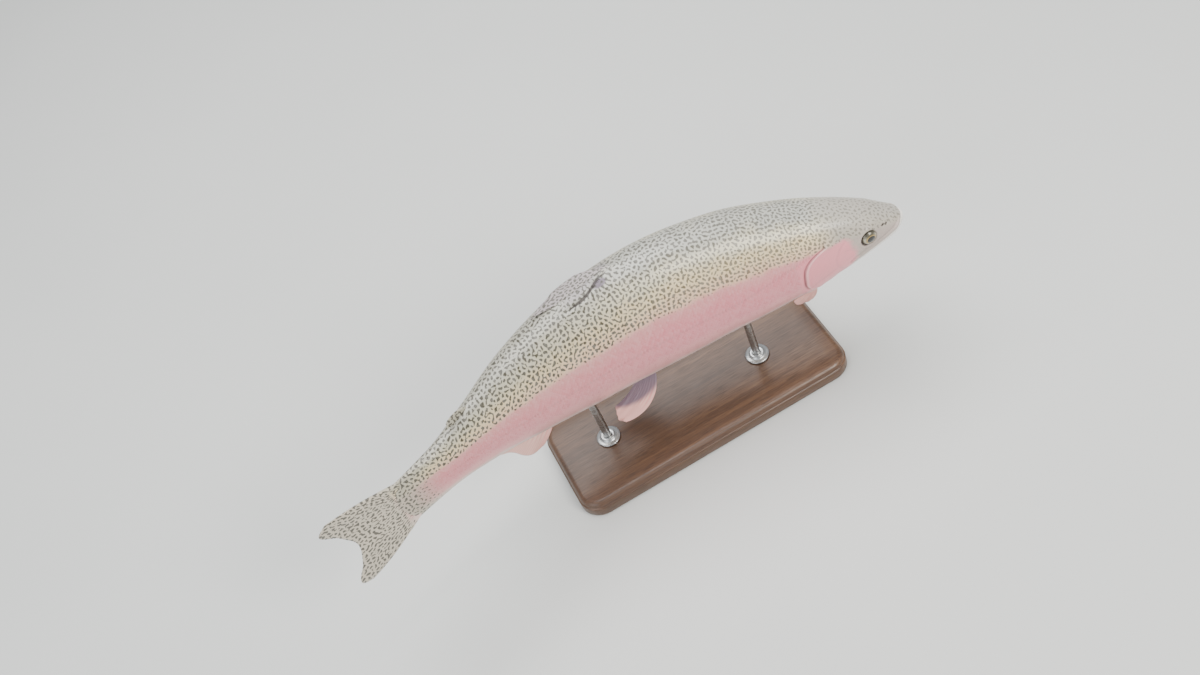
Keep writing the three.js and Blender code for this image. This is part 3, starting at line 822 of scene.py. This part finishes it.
def make_skin():
    build = Build()
    add_body(build)
    rng = np.random.default_rng(4)
    width = 1 / len(FINS)
    for k, (name, fin) in enumerate(FINS.items()):
        add_fin(build, name, fin, (k * width + 0.004, width - 0.008), rng)
    return build.mesh("trout_skin")


# ---------------- scales

SCALE_STEP = 1.8  # distance between rows of scales, which alternate by half a lane
LANE_WIDE = 5.2  # distance between the lanes of one row
MOST_LANES = 40  # lanes tried on either side of the lateral line
SCALE_LONG, SCALE_HALF = 5.2, 2.9  # length and half width of the largest scales
SCALE_LIFT = 0.18  # how far a scale's free edge stands off the skin
# Outline of a scale: share of its length, half width as a share, and height as a share of the lift.
SCALE_ROWS = [
    (0, 0.4, -1.0),
    (0.28, 0.85, -0.5),
    (0.52, 1.0, 0.0),
    (0.75, 0.88, 0.5),
    (0.91, 0.58, 0.85),
    (1.0, 0.2, 1.0),
]
SCALE_COLUMNS = (-1, -0.4, 0.4, 1)
SCALES_FROM = 82.0  # s of the first row
LATERAL_PORES = 0.13  # how dark the lateral line's scales are in their middle
UV_PATCH = 0.003  # length on the unwrap that one scale takes up
TABLE_FROM, TABLE_STEPS = 80, 240  # the surface tables' first s, and their steps round one side


def surface_tables():
    """Each side's skin by s and share of the way round: points, normals, side, z and angle."""
    s = np.arange(TABLE_FROM, SKIN_END)[:, None] + np.zeros((1, TABLE_STEPS + 1))
    share = np.linspace(0, 1, TABLE_STEPS + 1)
    angle = np.array([np.interp(share * ARC[int(k), -1], ARC[int(k)], ARC_ANGLE) for k in s[:, 0]])
    side, z = tapered_section(s, angle)
    tables = {}
    for left in (-1, 1):
        plain = place(s, left * side, z)
        along, around = np.gradient(plain, axis=0), np.gradient(plain, axis=1)
        normal = unit(np.cross(around, along)) * left
        points = plain + normal * body_relief(s, left * side, z, angle)[..., None]
        tables[left] = np.concatenate([points, normal, np.stack([left * side, z, angle], -1)], -1)
    return tables


def on_skin(tables, s, arc):
    """Points, normals, side, z, angle and sign of the side at signed distances from the ridge."""
    share = np.abs(arc) / half_girth(s)
    left = np.where(arc >= 0, 1, -1) * np.where(share > 1, -1, 1)
    share = np.where(share > 1, 2 - share, share)
    right_found, left_found = (bilinear(tables[k], s - TABLE_FROM, share * TABLE_STEPS) for k in (-1, 1))
    found = np.where((left > 0)[..., None], left_found, right_found)
    return found[..., :3], found[..., 3:6], *np.moveaxis(found[..., 6:], -1, 0), left


def scale_size(s):
    """Size of the scales at s, as a share of the largest."""
    return (half_girth(s) / ARC[:, -1].max()) ** 0.55


def lane_arc(s, lane):
    """Distance from the back's ridge of a lane of scales. Lane 0 is the lateral line."""
    z = lateral_line(s)
    return arc_at(s, angle_at(s, z)) + lane * LANE_WIDE * scale_size(s)


def scale_roots():
    """Places of one side's scales: their roots' s and their lanes."""
    roots, s = [], SCALES_FROM
    while s < STALK_END - 2:
        lanes = np.arange(-MOST_LANES, MOST_LANES + 1) + 0.5 * (len(roots) % 2)
        arc = lane_arc(np.full_like(lanes, s), lanes)
        slack = 0.3 * LANE_WIDE * scale_size(s)
        lanes = lanes[(arc > -slack) & (arc < half_girth(s) + slack)]
        roots.append(np.stack([np.full_like(lanes, s), lanes]))
        s += SCALE_STEP * float(scale_size(s))
    return np.concatenate(roots, axis=1)


def template():
    """A scale's points as share of length, of half width and of lift, its faces and its rim."""
    points = []
    for along, wide, high in SCALE_ROWS:
        for across in SCALE_COLUMNS:
            bulge = 0.06 * (1 - across**2) * (along > 0.8)
            points.append((along + bulge, across * wide, high - 0.35 * across**2 * (along < 0.95)))
    rows, columns = len(SCALE_ROWS), len(SCALE_COLUMNS)
    top, _, _ = grid_quads(rows, columns, wrap=False)
    number = np.arange(rows * columns).reshape(rows, columns)
    rim = [number[0], number[1:-1, -1], number[-1, ::-1], number[-2:0:-1, 0]]
    return np.array(points), top, np.concatenate(rim)


def scale_marks(shape, at_s, z, angle, on_left, lane, rng):
    """What the skin's material needs to know on the scales."""
    along, wide, _ = shape.T
    marks = body_marks(at_s, z, angle, on_left)
    row_width = np.repeat([row[1] for row in SCALE_ROWS], len(SCALE_COLUMNS))
    at_edge = np.maximum(np.abs(wide) >= 0.999 * row_width, along > 0.99)
    marks["rim"] = np.interp(along, [0.5, 0.75], [0.0, 1.0]) * at_edge + 0 * z
    # a random value for each scale: how much painted sheen it gets, and its roughness
    marks["sheen_and_gloss"] = rng.uniform(-1, 1, len(lane))[:, None] + 0 * z
    pores = LATERAL_PORES * (lane == 0)[:, None] * (np.abs(wide) < 0.5)
    marks["dark"] = np.maximum(marks["dark"], pores * smooth(at_s, 500, 480))
    return marks


def make_scales(tables, name, left, s, lane):
    """One piece of coat: every chosen scale as a thin closed shell."""
    shape, top, rim = template()
    size, count = scale_size(s), len(s)
    along, wide, high = shape.T
    rng = np.random.default_rng(count)
    length = SCALE_LONG * size * rng.uniform(0.95, 1.05, count)
    lift = SCALE_LIFT * size**0.5 * rng.uniform(0.75, 1.15, count)
    askew = rng.uniform(-0.05, 0.05, count)[:, None] * along
    at_s = np.clip(s[:, None] + along * length[:, None], TABLE_FROM, SKIN_END - 2)
    across = (wide + askew) * (SCALE_HALF * size)[:, None]
    at_arc = left * (lane_arc(at_s, lane[:, None]) + across)
    points, normal, _, z, angle, on_left = on_skin(tables, at_s, at_arc)
    points = points + normal * (high * lift[:, None])[..., None]
    first = np.arange(count)[:, None] * len(shape)
    quads = (top[None] + first[..., None]).reshape(-1, 4)
    under = rim[::-1] + first
    if left < 0:
        quads, under = quads[:, ::-1], under[:, ::-1]
    root = body_uv(s, (-left * lane_arc(s, lane) / (2 * half_girth(s))) % 1)
    uv = root[:, None] + (shape[:, :2] - [0.5, 0]) * [UV_PATCH, UV_PATCH / 2]
    uv = uv.reshape(-1, 2)
    build = Build()
    marks = scale_marks(shape, at_s, z, angle, on_left, lane, rng)
    build.add(points, [quads, under], [uv[quads], uv[under]], **marks)
    return build.mesh(name, sharp_deg=75)


COAT_PARTS = {"front": (0, 205), "middle": (205, 325), "rear": (325, 600)}  # s of their ends


def bears_scale(tables, left, s, lane):
    """Whether a scale fits: on scaled skin, off the dorsal fold and clear of the fins' roots."""
    long = SCALE_LONG * scale_size(s)
    middle = np.minimum(s + 0.7 * long, SKIN_END - 2)
    arc = left * lane_arc(middle, lane)
    _, _, side, z, angle, _ = on_skin(tables, middle, arc)
    keep = (scaled(middle, angle) > 0.6) & (s + long < STALK_END + 3)
    for corner in (-0.5, 0, 0.5):
        at_corner = on_skin(tables, s, left * lane_arc(s, lane + corner))[4]
        keep &= scaled(s, at_corner) > 0.02
    off, fold = dorsal_crease(middle, arc)
    keep &= (np.abs(off + 0.3) > 1.5) | (fold < 0.2)
    for fin in PADDED_FINS:
        keep &= fin_root_distance(middle, side, z, fin) > 3.0
    return keep


def make_coat():
    tables = surface_tables()
    s, lane = scale_roots()
    coat = []
    for title, left in SIDES.items():
        keep = bears_scale(tables, left, s, lane)
        for part, (start, end) in COAT_PARTS.items():
            chosen = keep & (s >= start) & (s < end)
            coat.append(make_scales(tables, f"scales_{title}_{part}", left, s[chosen], lane[chosen]))
    return coat


# ---------------- materials


def srgb(r, g, b):
    """A colour given as it looks on a screen, 0 to 255."""
    c = np.array([r, g, b]) / 255
    c = np.where(c <= 0.04045, c / 12.92, ((c + 0.055) / 1.055) ** 2.4)
    return (*c, 1.0)


class Value:
    """A node's output, which takes part in plain arithmetic."""

    def __init__(self, material, socket):
        self.material, self.socket = material, socket

    def __add__(self, other):
        return self.material.math("ADD", self, other)

    def __sub__(self, other):
        return self.material.math("SUBTRACT", self, other)

    def __rsub__(self, other):
        return self.material.math("SUBTRACT", other, self)

    def __mul__(self, other):
        return self.material.math("MULTIPLY", self, other)


class Material:
    """Adds shader nodes. Any input may be a number, a colour or another node's output."""

    def __init__(self, name, **constants):
        self.material = bpy.data.materials.new(name)
        self.material.use_nodes = True
        self.tree = self.material.node_tree
        self.shader = self.tree.nodes["Principled BSDF"]
        for socket, value in constants.items():
            self.shader.inputs[socket.replace("_", " ")].default_value = value

    def add(self, kind, inputs=(), output=0, **settings):
        node = self.tree.nodes.new("ShaderNode" + kind)
        for key, value in settings.items():
            setattr(node, key, value)
        for socket, value in dict(inputs).items():
            self.put(node.inputs[socket], value)
        return Value(self, node.outputs[output])

    def put(self, socket, value):
        if isinstance(value, Value):
            self.tree.links.new(value.socket, socket)
        else:
            socket.default_value = value

    def set(self, socket, value):
        self.put(self.shader.inputs[socket], value)

    def math(self, operation, a, b=0.0, clamp=False):
        return self.add("Math", {0: a, 1: b}, operation=operation, use_clamp=clamp)

    def larger(self, a, b):
        return self.math("MAXIMUM", a, b)

    def step(self, value, low, high, to_low=0.0, to_high=1.0):
        inputs = {"Value": value, 1: low, 2: high, 3: to_low, 4: to_high}
        return self.add("MapRange", inputs, interpolation_type="SMOOTHSTEP")

    def mix(self, share, a, b, blend="MIX"):
        inputs = {"Factor": share, 6: a, 7: b}
        return self.add("Mix", inputs, output=2, data_type="RGBA", blend_type=blend)

    def attributes(self, *names):
        return (self.add("Attribute", output=2, attribute_name=name) for name in names)

    def plane(self, x, y):
        """A place in the plane of a pattern."""
        return self.add("CombineXYZ", {0: x, 1: y})

    def length(self, vector):
        return self.add("VectorMath", {0: vector}, output=1, operation="LENGTH")

    def stretched(self, scale):
        """Object coordinates, scaled along each axis."""
        return self.add("Mapping", {0: self.add("TexCoord", output=3), 3: scale})

    def noise(self, vector, scale, detail=2.0, roughness=0.5):
        inputs = {"Vector": vector, "Scale": scale, "Detail": detail, "Roughness": roughness}
        return self.add("TexNoise", inputs)

    def ramp(self, value, stops):
        colour = self.add("ValToRGB", {0: value})
        ramp = colour.socket.node.color_ramp
        ramp.interpolation = "EASE"
        while len(ramp.elements) < len(stops):
            ramp.elements.new(0.5)
        for element, (position, stop_colour) in zip(ramp.elements, stops):
            element.position = position
            element.color = stop_colour
        return colour

    def bump(self, height, strength, distance):
        inputs = {"Height": height, "Strength": strength, "Distance": distance}
        self.set("Normal", self.add("Bump", inputs))


BODY_COLOURS = [  # height, from the belly's ridge at -1 to the back's at 1
    (-1.0, srgb(238, 231, 222)),
    (-0.72, srgb(238, 206, 200)),
    (-0.5, srgb(236, 162, 166)),
    (-0.2, srgb(222, 134, 145)),
    (0.15, srgb(220, 128, 139)),
    (0.35, srgb(218, 140, 143)),
    (0.47, srgb(224, 188, 154)),
    (0.68, srgb(226, 204, 160)),
    (0.86, srgb(204, 196, 168)),
    (1.0, srgb(178, 178, 170)),
]
SPOT_COLOUR = srgb(60, 56, 44)
# painted shade, laid over the top of the back towards the tail
REAR_SHADE_COLOUR = srgb(150, 144, 124)
CHEEK_COLOUR = srgb(232, 136, 148)
SNOUT_COLOUR = srgb(168, 162, 152)
JAW_COLOUR = srgb(234, 228, 220)
FIN_COLOUR = srgb(176, 170, 150)
PALE_FIN_COLOUR = srgb(226, 146, 140)
DARK_COLOUR = srgb(46, 38, 36)
# painted shade by the dorsal fold and on the dorsal fin, painted shadow on the pelvic fins, and the
# lobe's lilac
LILAC_COLOUR = srgb(118, 98, 122)
MOTTLE_COLOUR = srgb(235, 225, 200)
RAY_COLOUR = srgb(236, 214, 196)
# painted sheen
PAINTED_SHEEN_COLOUR = srgb(250, 246, 238)
LILAC_LOBE = (279.0, -6.6)  # s and arc of the lobe's middle
SPOT_SPACING = 4.5  # usual distance between the middles of two spots
GABOR_SCALE = 0.11  # cells of the flecks' noise per millimetre


def dorsal_fold_shade_and_lobe(m, x, y):
    """Where the painted shadow in the fold beside the laid-down dorsal fin runs, and a lilac lobe of
    skin next to it, darkened too.
    """
    (from_s, from_arc), (to_s, to_arc) = CREASE_FROM, CREASE_TO
    off = m.math("ABSOLUTE", y + 0.3 - m.step(x, from_s, to_s, from_arc, to_arc))
    wide = m.step(x, 257.0, 274.0) * m.step(x, 324.0, 300.0) * 1.7
    # painted shadow along the fold
    line = m.step(wide - off, -0.3, 0.8) * m.step(wide, 0.05, 0.5)
    lobe_s, lobe_arc = LILAC_LOBE
    lobe = m.step(m.length(m.plane((x - lobe_s) * 0.14, (y - lobe_arc) * 0.24)), 1.2, 0.7)
    return m.larger(line, lobe * 0.45), lobe


def spots(m, where, cover):
    """Small dark flecks, evenly spread and partly run together. cover sets how much they take up."""
    frequency = 1 / (GABOR_SCALE * SPOT_SPACING)
    inputs = {"Vector": where, "Scale": GABOR_SCALE, "Frequency": frequency, "Anisotropy": 0.0}
    flecks = m.add("TexGabor", inputs, gabor_type="2D") * 0.9
    inputs = {"Vector": where, "Scale": 1 / SPOT_SPACING, "Randomness": 0.88}
    cells = m.add("TexVoronoi", inputs, voronoi_dimensions="2D", feature="DISTANCE_TO_EDGE")
    ragged = (m.noise(where, 1.1) - 0.5) * 0.12
    over = flecks + m.step(cells, 0.0, 0.34, -0.17, 0.1) + ragged
    return m.step(over - m.step(cover, 0.0, 1.0, 0.66, 0.43), -0.01, 0.05)


def skin_colour(m, x, level, mottle, cheek):
    """The skin between its spots."""
    head, jaw, fin, pale, ray = m.attributes("head", "jaw", "fin", "pale", "ray")
    body = m.ramp(level * 0.5 + 0.5, [((h + 1) / 2, colour) for h, colour in BODY_COLOURS])
    # Painted shade: the top of the back is darkened towards the tail.
    rear_back_shade = m.step(x, 220.0, 340.0, 0.0, 0.45) * m.step(level, 0.5, 0.95, 0.25, 1.0)
    body = m.mix(rear_back_shade, body, REAR_SHADE_COLOUR)
    body = m.mix(head * 0.9, body, SNOUT_COLOUR)
    body = m.mix(cheek * 0.92, body, CHEEK_COLOUR)
    body = m.mix(jaw, body, JAW_COLOUR)
    body = m.mix(m.step(mottle, 0.35, 0.75, 0.0, 0.22), body, MOTTLE_COLOUR, "SOFT_LIGHT")
    flesh = m.mix(pale, FIN_COLOUR, PALE_FIN_COLOUR)
    return m.mix(fin, body, m.mix(ray * 0.45, flesh, RAY_COLOUR))


def spot_marks(m, where, level, cheek):
    """Strength of the spots: on the back and the unpaired fins, fewer on the head."""
    head, jaw, fin, pale = m.attributes("head", "jaw", "fin", "pale")
    on_fin = fin * (1.0 - m.math("MULTIPLY", pale, 1.3, clamp=True)) * 0.85
    mask = m.larger(m.step(level, 0.34, 0.5) * (1.0 - cheek), on_fin)
    mask = mask * m.step(head, 0.0, 1.0, 1.0, 0.72) * m.math("SUBTRACT", 1.0, jaw, clamp=True)
    marks = spots(m, where, mask) * m.step(mask, 0.05, 0.3)
    return marks * m.step(head, 0.0, 1.0, 1.0, 0.7)


def skin_material():
    m = Material("trout_skin", Coat_Weight=0.3, Coat_Roughness=0.1, Coat_IOR=1.4, IOR=1.4)
    x, y, height, red, head, fin = m.attributes("spot_x", "spot_y", "height", "cheek", "head", "fin")
    dark, rim, sheen_and_gloss, lilac, eye = m.attributes("dark", "rim", "sheen_and_gloss", "lilac", "eye")
    where = m.plane(x, y)
    level = height + (m.noise(where, 0.035, detail=3) - 0.5) * 0.16
    cheek = red + (m.noise(where, 0.12, detail=4) - 0.5) * 0.7
    cheek = m.step(cheek, 0.15, 0.8) * m.step(red, 0.0, 0.25)
    mottle, fine = m.noise(where, 0.5, detail=4), m.noise(where, 1.6, detail=3)
    marks = spot_marks(m, where, level, cheek)
    line, lobe = dorsal_fold_shade_and_lobe(m, x, y)
    colour = skin_colour(m, x, level, mottle, cheek)
    # Lilac: painted shade by the dorsal fold and on the dorsal fin, the painted shadow on the pelvic
    # fins, and the lobe beside the fold.
    colour = m.mix(m.larger(lobe, lilac) * 0.9, colour, LILAC_COLOUR)
    colour = m.mix(marks * m.step(x, 140.0, 330.0, 0.76, 0.95), colour, SPOT_COLOUR)
    colour = m.mix(rim * 0.16, colour, m.mix(0.5, colour, DARK_COLOUR))
    # Painted sheen: a little near-white over all the skin, more or less on each scale.
    colour = m.mix(sheen_and_gloss * 0.05 + 0.05, colour, PAINTED_SHEEN_COLOUR)
    # Painted shade in the eye's socket, round the eyeball.
    socket = m.step(eye, EYE_MARK_REACH - 8.3, EYE_MARK_REACH - 7.4)
    # Painted shade and shadow in the dorsal fold, slits, nostrils, head seams and eye socket and on the
    # pelvic fins; the lateral line's pores are darker in their own colour.
    colour = m.mix(m.larger(m.larger(line, dark), socket) * 0.9, colour, DARK_COLOUR)
    m.set("Base Color", colour)
    silver = m.step(level, 0.45, -0.1, 0.06, 0.3) * (1.0 - m.larger(marks, fin))
    m.set("Metallic", m.math("MULTIPLY", silver, 1.0 - head, clamp=True))
    m.set("Roughness", m.step(fine + sheen_and_gloss * 0.12, 0.25, 0.75, 0.27, 0.48))
    m.bump(fine + mottle * 0.6, 0.25, 0.00012)
    return m.material


# ---------------- eyes

EYE_RINGS, EYE_SPOKES = 28, 64
LENS_RISE = 0.12  # how far the lens stands off the dome
IRIS_COLOURS = [  # share of the eye's radius
    (0.0, srgb(8, 8, 9)),
    (0.47, srgb(10, 10, 10)),
    (0.505, srgb(200, 166, 96)),
    (0.57, srgb(160, 142, 100)),
    (0.72, srgb(182, 176, 156)),
    (0.88, srgb(140, 134, 116)),
    (0.97, srgb(60, 56, 48)),
]
BROW_COLOUR = srgb(48, 44, 32)


def eye_profile():
    """Radii of the eyeball's rings and their distances outwards, with a slightly raised lens."""
    r = np.sin(np.linspace(0, 1, EYE_RINGS)[1:] * np.pi / 2)
    r = np.concatenate([r, r[-2::-1]])
    out = np.sqrt(np.maximum(0, 1 - r**2)) * EYE["depth"]
    out[EYE_RINGS - 1 :] *= -1
    return r * EYE["radius"], out + LENS_RISE * hump(r * EYE["radius"], 2.6) * (out > 0)


def make_eye(name, left):
    """An eyeball seated in its socket, turned a little forwards."""
    radius, out = eye_profile()
    turn = np.linspace(0, 2 * np.pi, EYE_SPOKES, endpoint=False)
    forward = radius[:, None] * np.cos(turn)
    up = radius[:, None] * np.sin(turn)
    forward, up = (np.append(v, [0, 0]) for v in (forward, up))
    out = np.append(np.repeat(out, EYE_SPOKES), [EYE["depth"] + LENS_RISE, -EYE["depth"]])
    half_width, _ = section(EYE["s"], angle_at(EYE["s"], EYE["z"]))
    middle = place(EYE["s"], left * (half_width - EYE["sunk"]), EYE["z"])
    heading = np.interp(EYE["s"], SPINE[0], SPINE[3]) - left * np.radians(EYE["forward_deg"])
    ahead = np.array([np.cos(heading), np.sin(heading), 0])
    outward = left * np.array([-np.sin(heading), np.cos(heading), 0])
    points = middle + forward[:, None] * ahead + out[:, None] * outward
    points[:, 2] += up
    faces = closed_faces(len(radius), EYE_SPOKES)
    if left > 0:
        faces = [face[:, ::-1] for face in faces]
    uv = 0.5 + 0.49 * np.stack([forward, up], -1) / EYE["radius"]
    uv[: len(radius) * EYE_SPOKES // 2] *= [0.5, 1]
    build = Build()
    build.add(points, faces, [uv[face] for face in faces], spot_x=forward, spot_y=up)
    return build.mesh(name)


def eye_material():
    m = Material("trout_eye", Coat_Weight=1.0, Coat_Roughness=0.02, Coat_IOR=1.38)
    x, y = m.attributes("spot_x", "spot_y")
    r = m.math("DIVIDE", m.length(m.plane((x - 0.5) * 0.92, y)), EYE["radius"])
    flecks = m.noise(m.plane(x, y), 1.4, detail=4)
    iris = m.ramp(r + (flecks - 0.5) * 0.07, IRIS_COLOURS)
    brow = m.step(y, 1.0, 5.5) * m.step(r, 0.5, 0.6)
    m.set("Base Color", m.mix(brow * 0.75, iris, BROW_COLOUR))
    m.set("Metallic", m.step(r, 0.48, 0.53) * 0.55)
    m.set("Roughness", m.step(flecks, 0.3, 0.7, 0.22, 0.4))
    return m.material


# ---------------- stand

BASE = dict(length=300, width=120, height=18, corner=22)
BASE_PROFILE = [  # inset from the outline, height
    (6, 0.0), (1.2, 0.0), (0.4, 0.3), (0, 1.2), (0, 10.5), (0.25, 11.2), (0.9, 11.8), (1.5, 12.1),
    (1.5, 12.9), (1.75, 13.6), (2.3, 14.8), (3.3, 16.1), (4.6, 17.1), (6.2, 17.75), (8, 18.0),
    (20, 18.0),
]
CAP_UV_SCALE = 0.001  # size on the unwrap of a millimetre of a flat end
ROD_RADIUS, ROD_FOOT, ROD_REACH = 4.0, BASE["height"], 1.0  # the reach is into the belly
ROD_STATIONS = (165, 335)
COLLAR_PROFILE = [  # radius, height over the base
    (4.05, 0.0), (12, 0.0), (12, 1.6), (11.8, 2.0), (11.2, 2.3), (9.2, 2.5), (8.3, 2.9), (7.6, 3.6),
    (7.2, 4.5), (6.9, 4.9), (6.4, 5.0), (4.5, 5.0), (4.05, 4.8),
]


def lathe(name, profile, station, spokes=72, closed=True):
    """A turned piece, upright under the spine. The profile is closed, or capped where it ends."""
    radius, height = (column[:, None] for column in np.transpose(profile))
    turn = np.linspace(0, 2 * np.pi, spokes, endpoint=False)
    middle = place(station, 0, 0)
    x, y = middle[0] + radius * np.cos(turn), middle[1] + radius * np.sin(turn)
    return tube(name, np.stack([x, y, height + 0 * x], -1), closed)


def tube(name, rings, closed=False):
    """Joins rings of points, which turn anticlockwise seen from above and start at the bottom."""
    count, spokes, _ = rings.shape
    rows = count + closed
    quads, row, column = grid_quads(rows, spokes, wrap=True)
    faces = [quads % (count * spokes)]
    uvs = [np.stack([column / spokes, row / rows], -1) * 0.98 + 0.01]
    if not closed:
        ring = np.arange(spokes)
        for end, order in ((0, ring[::-1]), (count - 1, ring)):
            faces.append(order[None] + end * spokes)
            uvs.append(rings[end][order, :2][None] * CAP_UV_SCALE + 0.5)
    build = Build()
    build.add(rings, faces, uvs)
    return build.mesh(name)


def rounded_rectangle(inset, per_corner=12):
    half_x, half_y = BASE["length"] / 2 - inset, BASE["width"] / 2 - inset
    corner = max(BASE["corner"] - inset, 1.0)
    points = []
    for k, (toward_x, toward_y) in enumerate([(1, 1), (-1, 1), (-1, -1), (1, -1)]):
        turn = np.linspace(k, k + 1, per_corner) * np.pi / 2
        x = (half_x - corner) * toward_x + corner * np.cos(turn)
        y = (half_y - corner) * toward_y + corner * np.sin(turn)
        points.append(np.column_stack([x, y]))
    return np.concatenate(points)


def make_base():
    rings = []
    for inset, height in BASE_PROFILE:
        edge = rounded_rectangle(inset)
        rings.append(np.column_stack([edge, np.full(len(edge), height)]))
    return tube("display_base", np.array(rings))


def make_rod(name, station):
    """A steel rod from the base up into the belly."""
    top = SPINE_HEIGHT + outline(float(station))[1]
    r = ROD_RADIUS
    profile = [(r - 0.5, ROD_FOOT + 0.3), (r, ROD_FOOT + 0.8)]
    profile += [(r, h) for h in np.linspace(ROD_FOOT + 2, top - 3, 8)]
    profile += [(r, top - 1.5), (r, top), (r - 0.4, top + ROD_REACH)]
    return lathe(name, profile, station, spokes=48, closed=False)


def make_collar(name, station):
    profile = [(r, ROD_FOOT + 0.3 + h) for r, h in COLLAR_PROFILE]
    return lathe(name, profile, station)


WOOD_COLOURS = [(0.3, srgb(62, 42, 30)), (0.5, srgb(88, 62, 44)), (0.7, srgb(116, 84, 60))]
PORE_COLOUR = srgb(44, 28, 20)


def wood_material():
    m = Material("walnut", Coat_Weight=0.25, Coat_Roughness=0.25)
    bend = m.noise(m.stretched((3.0, 22.0, 22.0)), 0.5)
    rings = m.noise(m.stretched((2.0, 90.0, 90.0)), 1.0, detail=5, roughness=0.65)
    streaks = m.noise(m.stretched((9.0, 420.0, 420.0)), 1.0, detail=3)
    pores = m.noise(m.stretched((60.0, 1500.0, 1500.0)), 1.0)
    tone = bend * 0.5 + rings * 0.5 + (streaks - 0.5) * 0.25
    colour = m.mix(m.step(pores, 0.35, 0.55, 0.5, 0.0), m.ramp(tone, WOOD_COLOURS), PORE_COLOUR)
    m.set("Base Color", colour)
    m.set("Roughness", m.step(pores, 0.3, 0.7, 0.5, 0.36))
    m.bump(pores, 0.2, 0.0001)
    return m.material


def steel_material():
    m = Material("brushed_steel", Metallic=1.0)
    brushed = m.noise(m.stretched((90.0, 90.0, 4000.0)), 1.0, detail=3)
    m.set("Base Color", m.mix(brushed, srgb(176, 178, 180), srgb(208, 208, 206)))
    m.set("Roughness", m.step(brushed, 0.3, 0.7, 0.24, 0.4))
    m.bump(brushed, 0.15, 0.00005)
    return m.material


# ---------------- the model

FLESH = ["head", "lower_jaw", "trunk_front", "trunk_middle", "trunk_rear", "tail_stalk", *FINS]
FLESH += [f"{part}_{side}" for part in ("jaw_bone", "gill_cover") for side in ("left", "right")]


def finish_piece(piece, material, slot, *nodes):
    piece.data.materials.append(material)
    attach(piece, "root")
    if nodes:
        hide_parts(*nodes)


skin_look = skin_material()
finish_piece(make_skin(), skin_look, "skin", *FLESH)
for coat in make_coat():
    finish_piece(coat, skin_look, "skin")
eye_look = eye_material()
for _name, _side in SIDES.items():
    finish_piece(make_eye(f"trout_eye_{_name}", _side), eye_look, "eye", f"eye_{_name}")
finish_piece(make_base(), wood_material(), "stand_wood", "stand_base")
steel = steel_material()
for _name, _station in zip(("front", "rear"), ROD_STATIONS):
    rod = make_rod(f"display_rod_{_name}", _station)
    finish_piece(rod, steel, "stand_metal", f"stand_rod_{_name}")
    collar = make_collar(f"display_collar_{_name}", _station)
    finish_piece(collar, steel, "stand_metal", f"stand_collar_{_name}")

# ---------------- floor, light and camera

CAMERA = dict(azimuth=-5.03, elevation=49.75, roll=-26.32, distance=1190.18, across=-53.12, up=-21.39)
LENS, SENSOR = 39.0, 36.0
FLOOR_REACH, FLOOR_LINES, FLOOR_LEVEL = 4000, 9, -0.2


def make_floor():
    """A wide floor, just under the stand."""
    steps = np.linspace(-FLOOR_REACH, FLOOR_REACH, FLOOR_LINES)
    x, y = np.meshgrid(steps, steps)
    quads, row, column = grid_quads(FLOOR_LINES, FLOOR_LINES, wrap=False)
    points = np.stack([x, y, np.full_like(x, FLOOR_LEVEL)], -1)
    build = Build()
    build.add(points, [quads], [np.stack([row, column], -1) / (FLOOR_LINES - 1)])
    floor = build.mesh("floor")
    m = Material("pale_floor", Roughness=0.85)
    cloud = m.noise(m.add("TexCoord", output=3), 3.0, detail=4)
    m.set("Base Color", m.mix(cloud, srgb(205, 207, 204), srgb(214, 215, 212)))
    floor.data.materials.append(m.material)


def put_in_scene(name, data, location, axes):
    """Adds a light or camera with its right, up and back axes."""
    thing = bpy.data.objects.new(name, data)
    thing.matrix_world = Matrix.Translation(location) @ Matrix(axes).transposed().to_4x4()
    bpy.context.scene.collection.objects.link(thing)
    return thing


def add_light(name, location, size, watts, colour=(1, 1, 1)):
    """A soft square light that looks at the fish."""
    data = bpy.data.lights.new(name, "AREA")
    data.shape = "SQUARE"
    data.size = size
    data.energy = watts
    data.color = colour
    back = unit(np.array(location) - [0, 0, SPINE_HEIGHT * MM])
    right = unit(np.cross([0, 0.001, 1], back))
    put_in_scene(name, data, location, [right, np.cross(back, right), back])


def set_world():
    world = bpy.data.worlds.new("studio")
    world.use_nodes = True
    background = world.node_tree.nodes["Background"]
    background.inputs["Color"].default_value = (0.93, 0.96, 1.0, 1)
    background.inputs["Strength"].default_value = 0.55
    bpy.context.scene.world = world


def set_camera():
    a, e, r = (np.radians(CAMERA[k]) for k in ("azimuth", "elevation", "roll"))
    right = np.array([np.cos(a), np.sin(a), 0])
    back = np.array([np.sin(a) * np.cos(e), -np.cos(a) * np.cos(e), np.sin(e)])
    up = np.cross(back, right)
    right, up = right * np.cos(r) + up * np.sin(r), up * np.cos(r) - right * np.sin(r)
    location = right * CAMERA["across"] + up * CAMERA["up"] + back * CAMERA["distance"]
    location = (location + [0, 0, SPINE_HEIGHT]) * MM
    data = bpy.data.cameras.new("camera")
    data.lens, data.sensor_width = LENS, SENSOR
    bpy.context.scene.camera = put_in_scene("camera", data, location, [right, up, back])


make_floor()
set_world()
set_camera()
add_light("overhead", (-0.1, 0.5, 1.9), 1.6, 55)
add_light("key", (0.9, -1.5, 1.5), 0.9, 40, (1, 0.97, 0.92))
add_light("fill", (-1.6, -1.0, 0.9), 1.4, 15, (0.92, 0.96, 1))
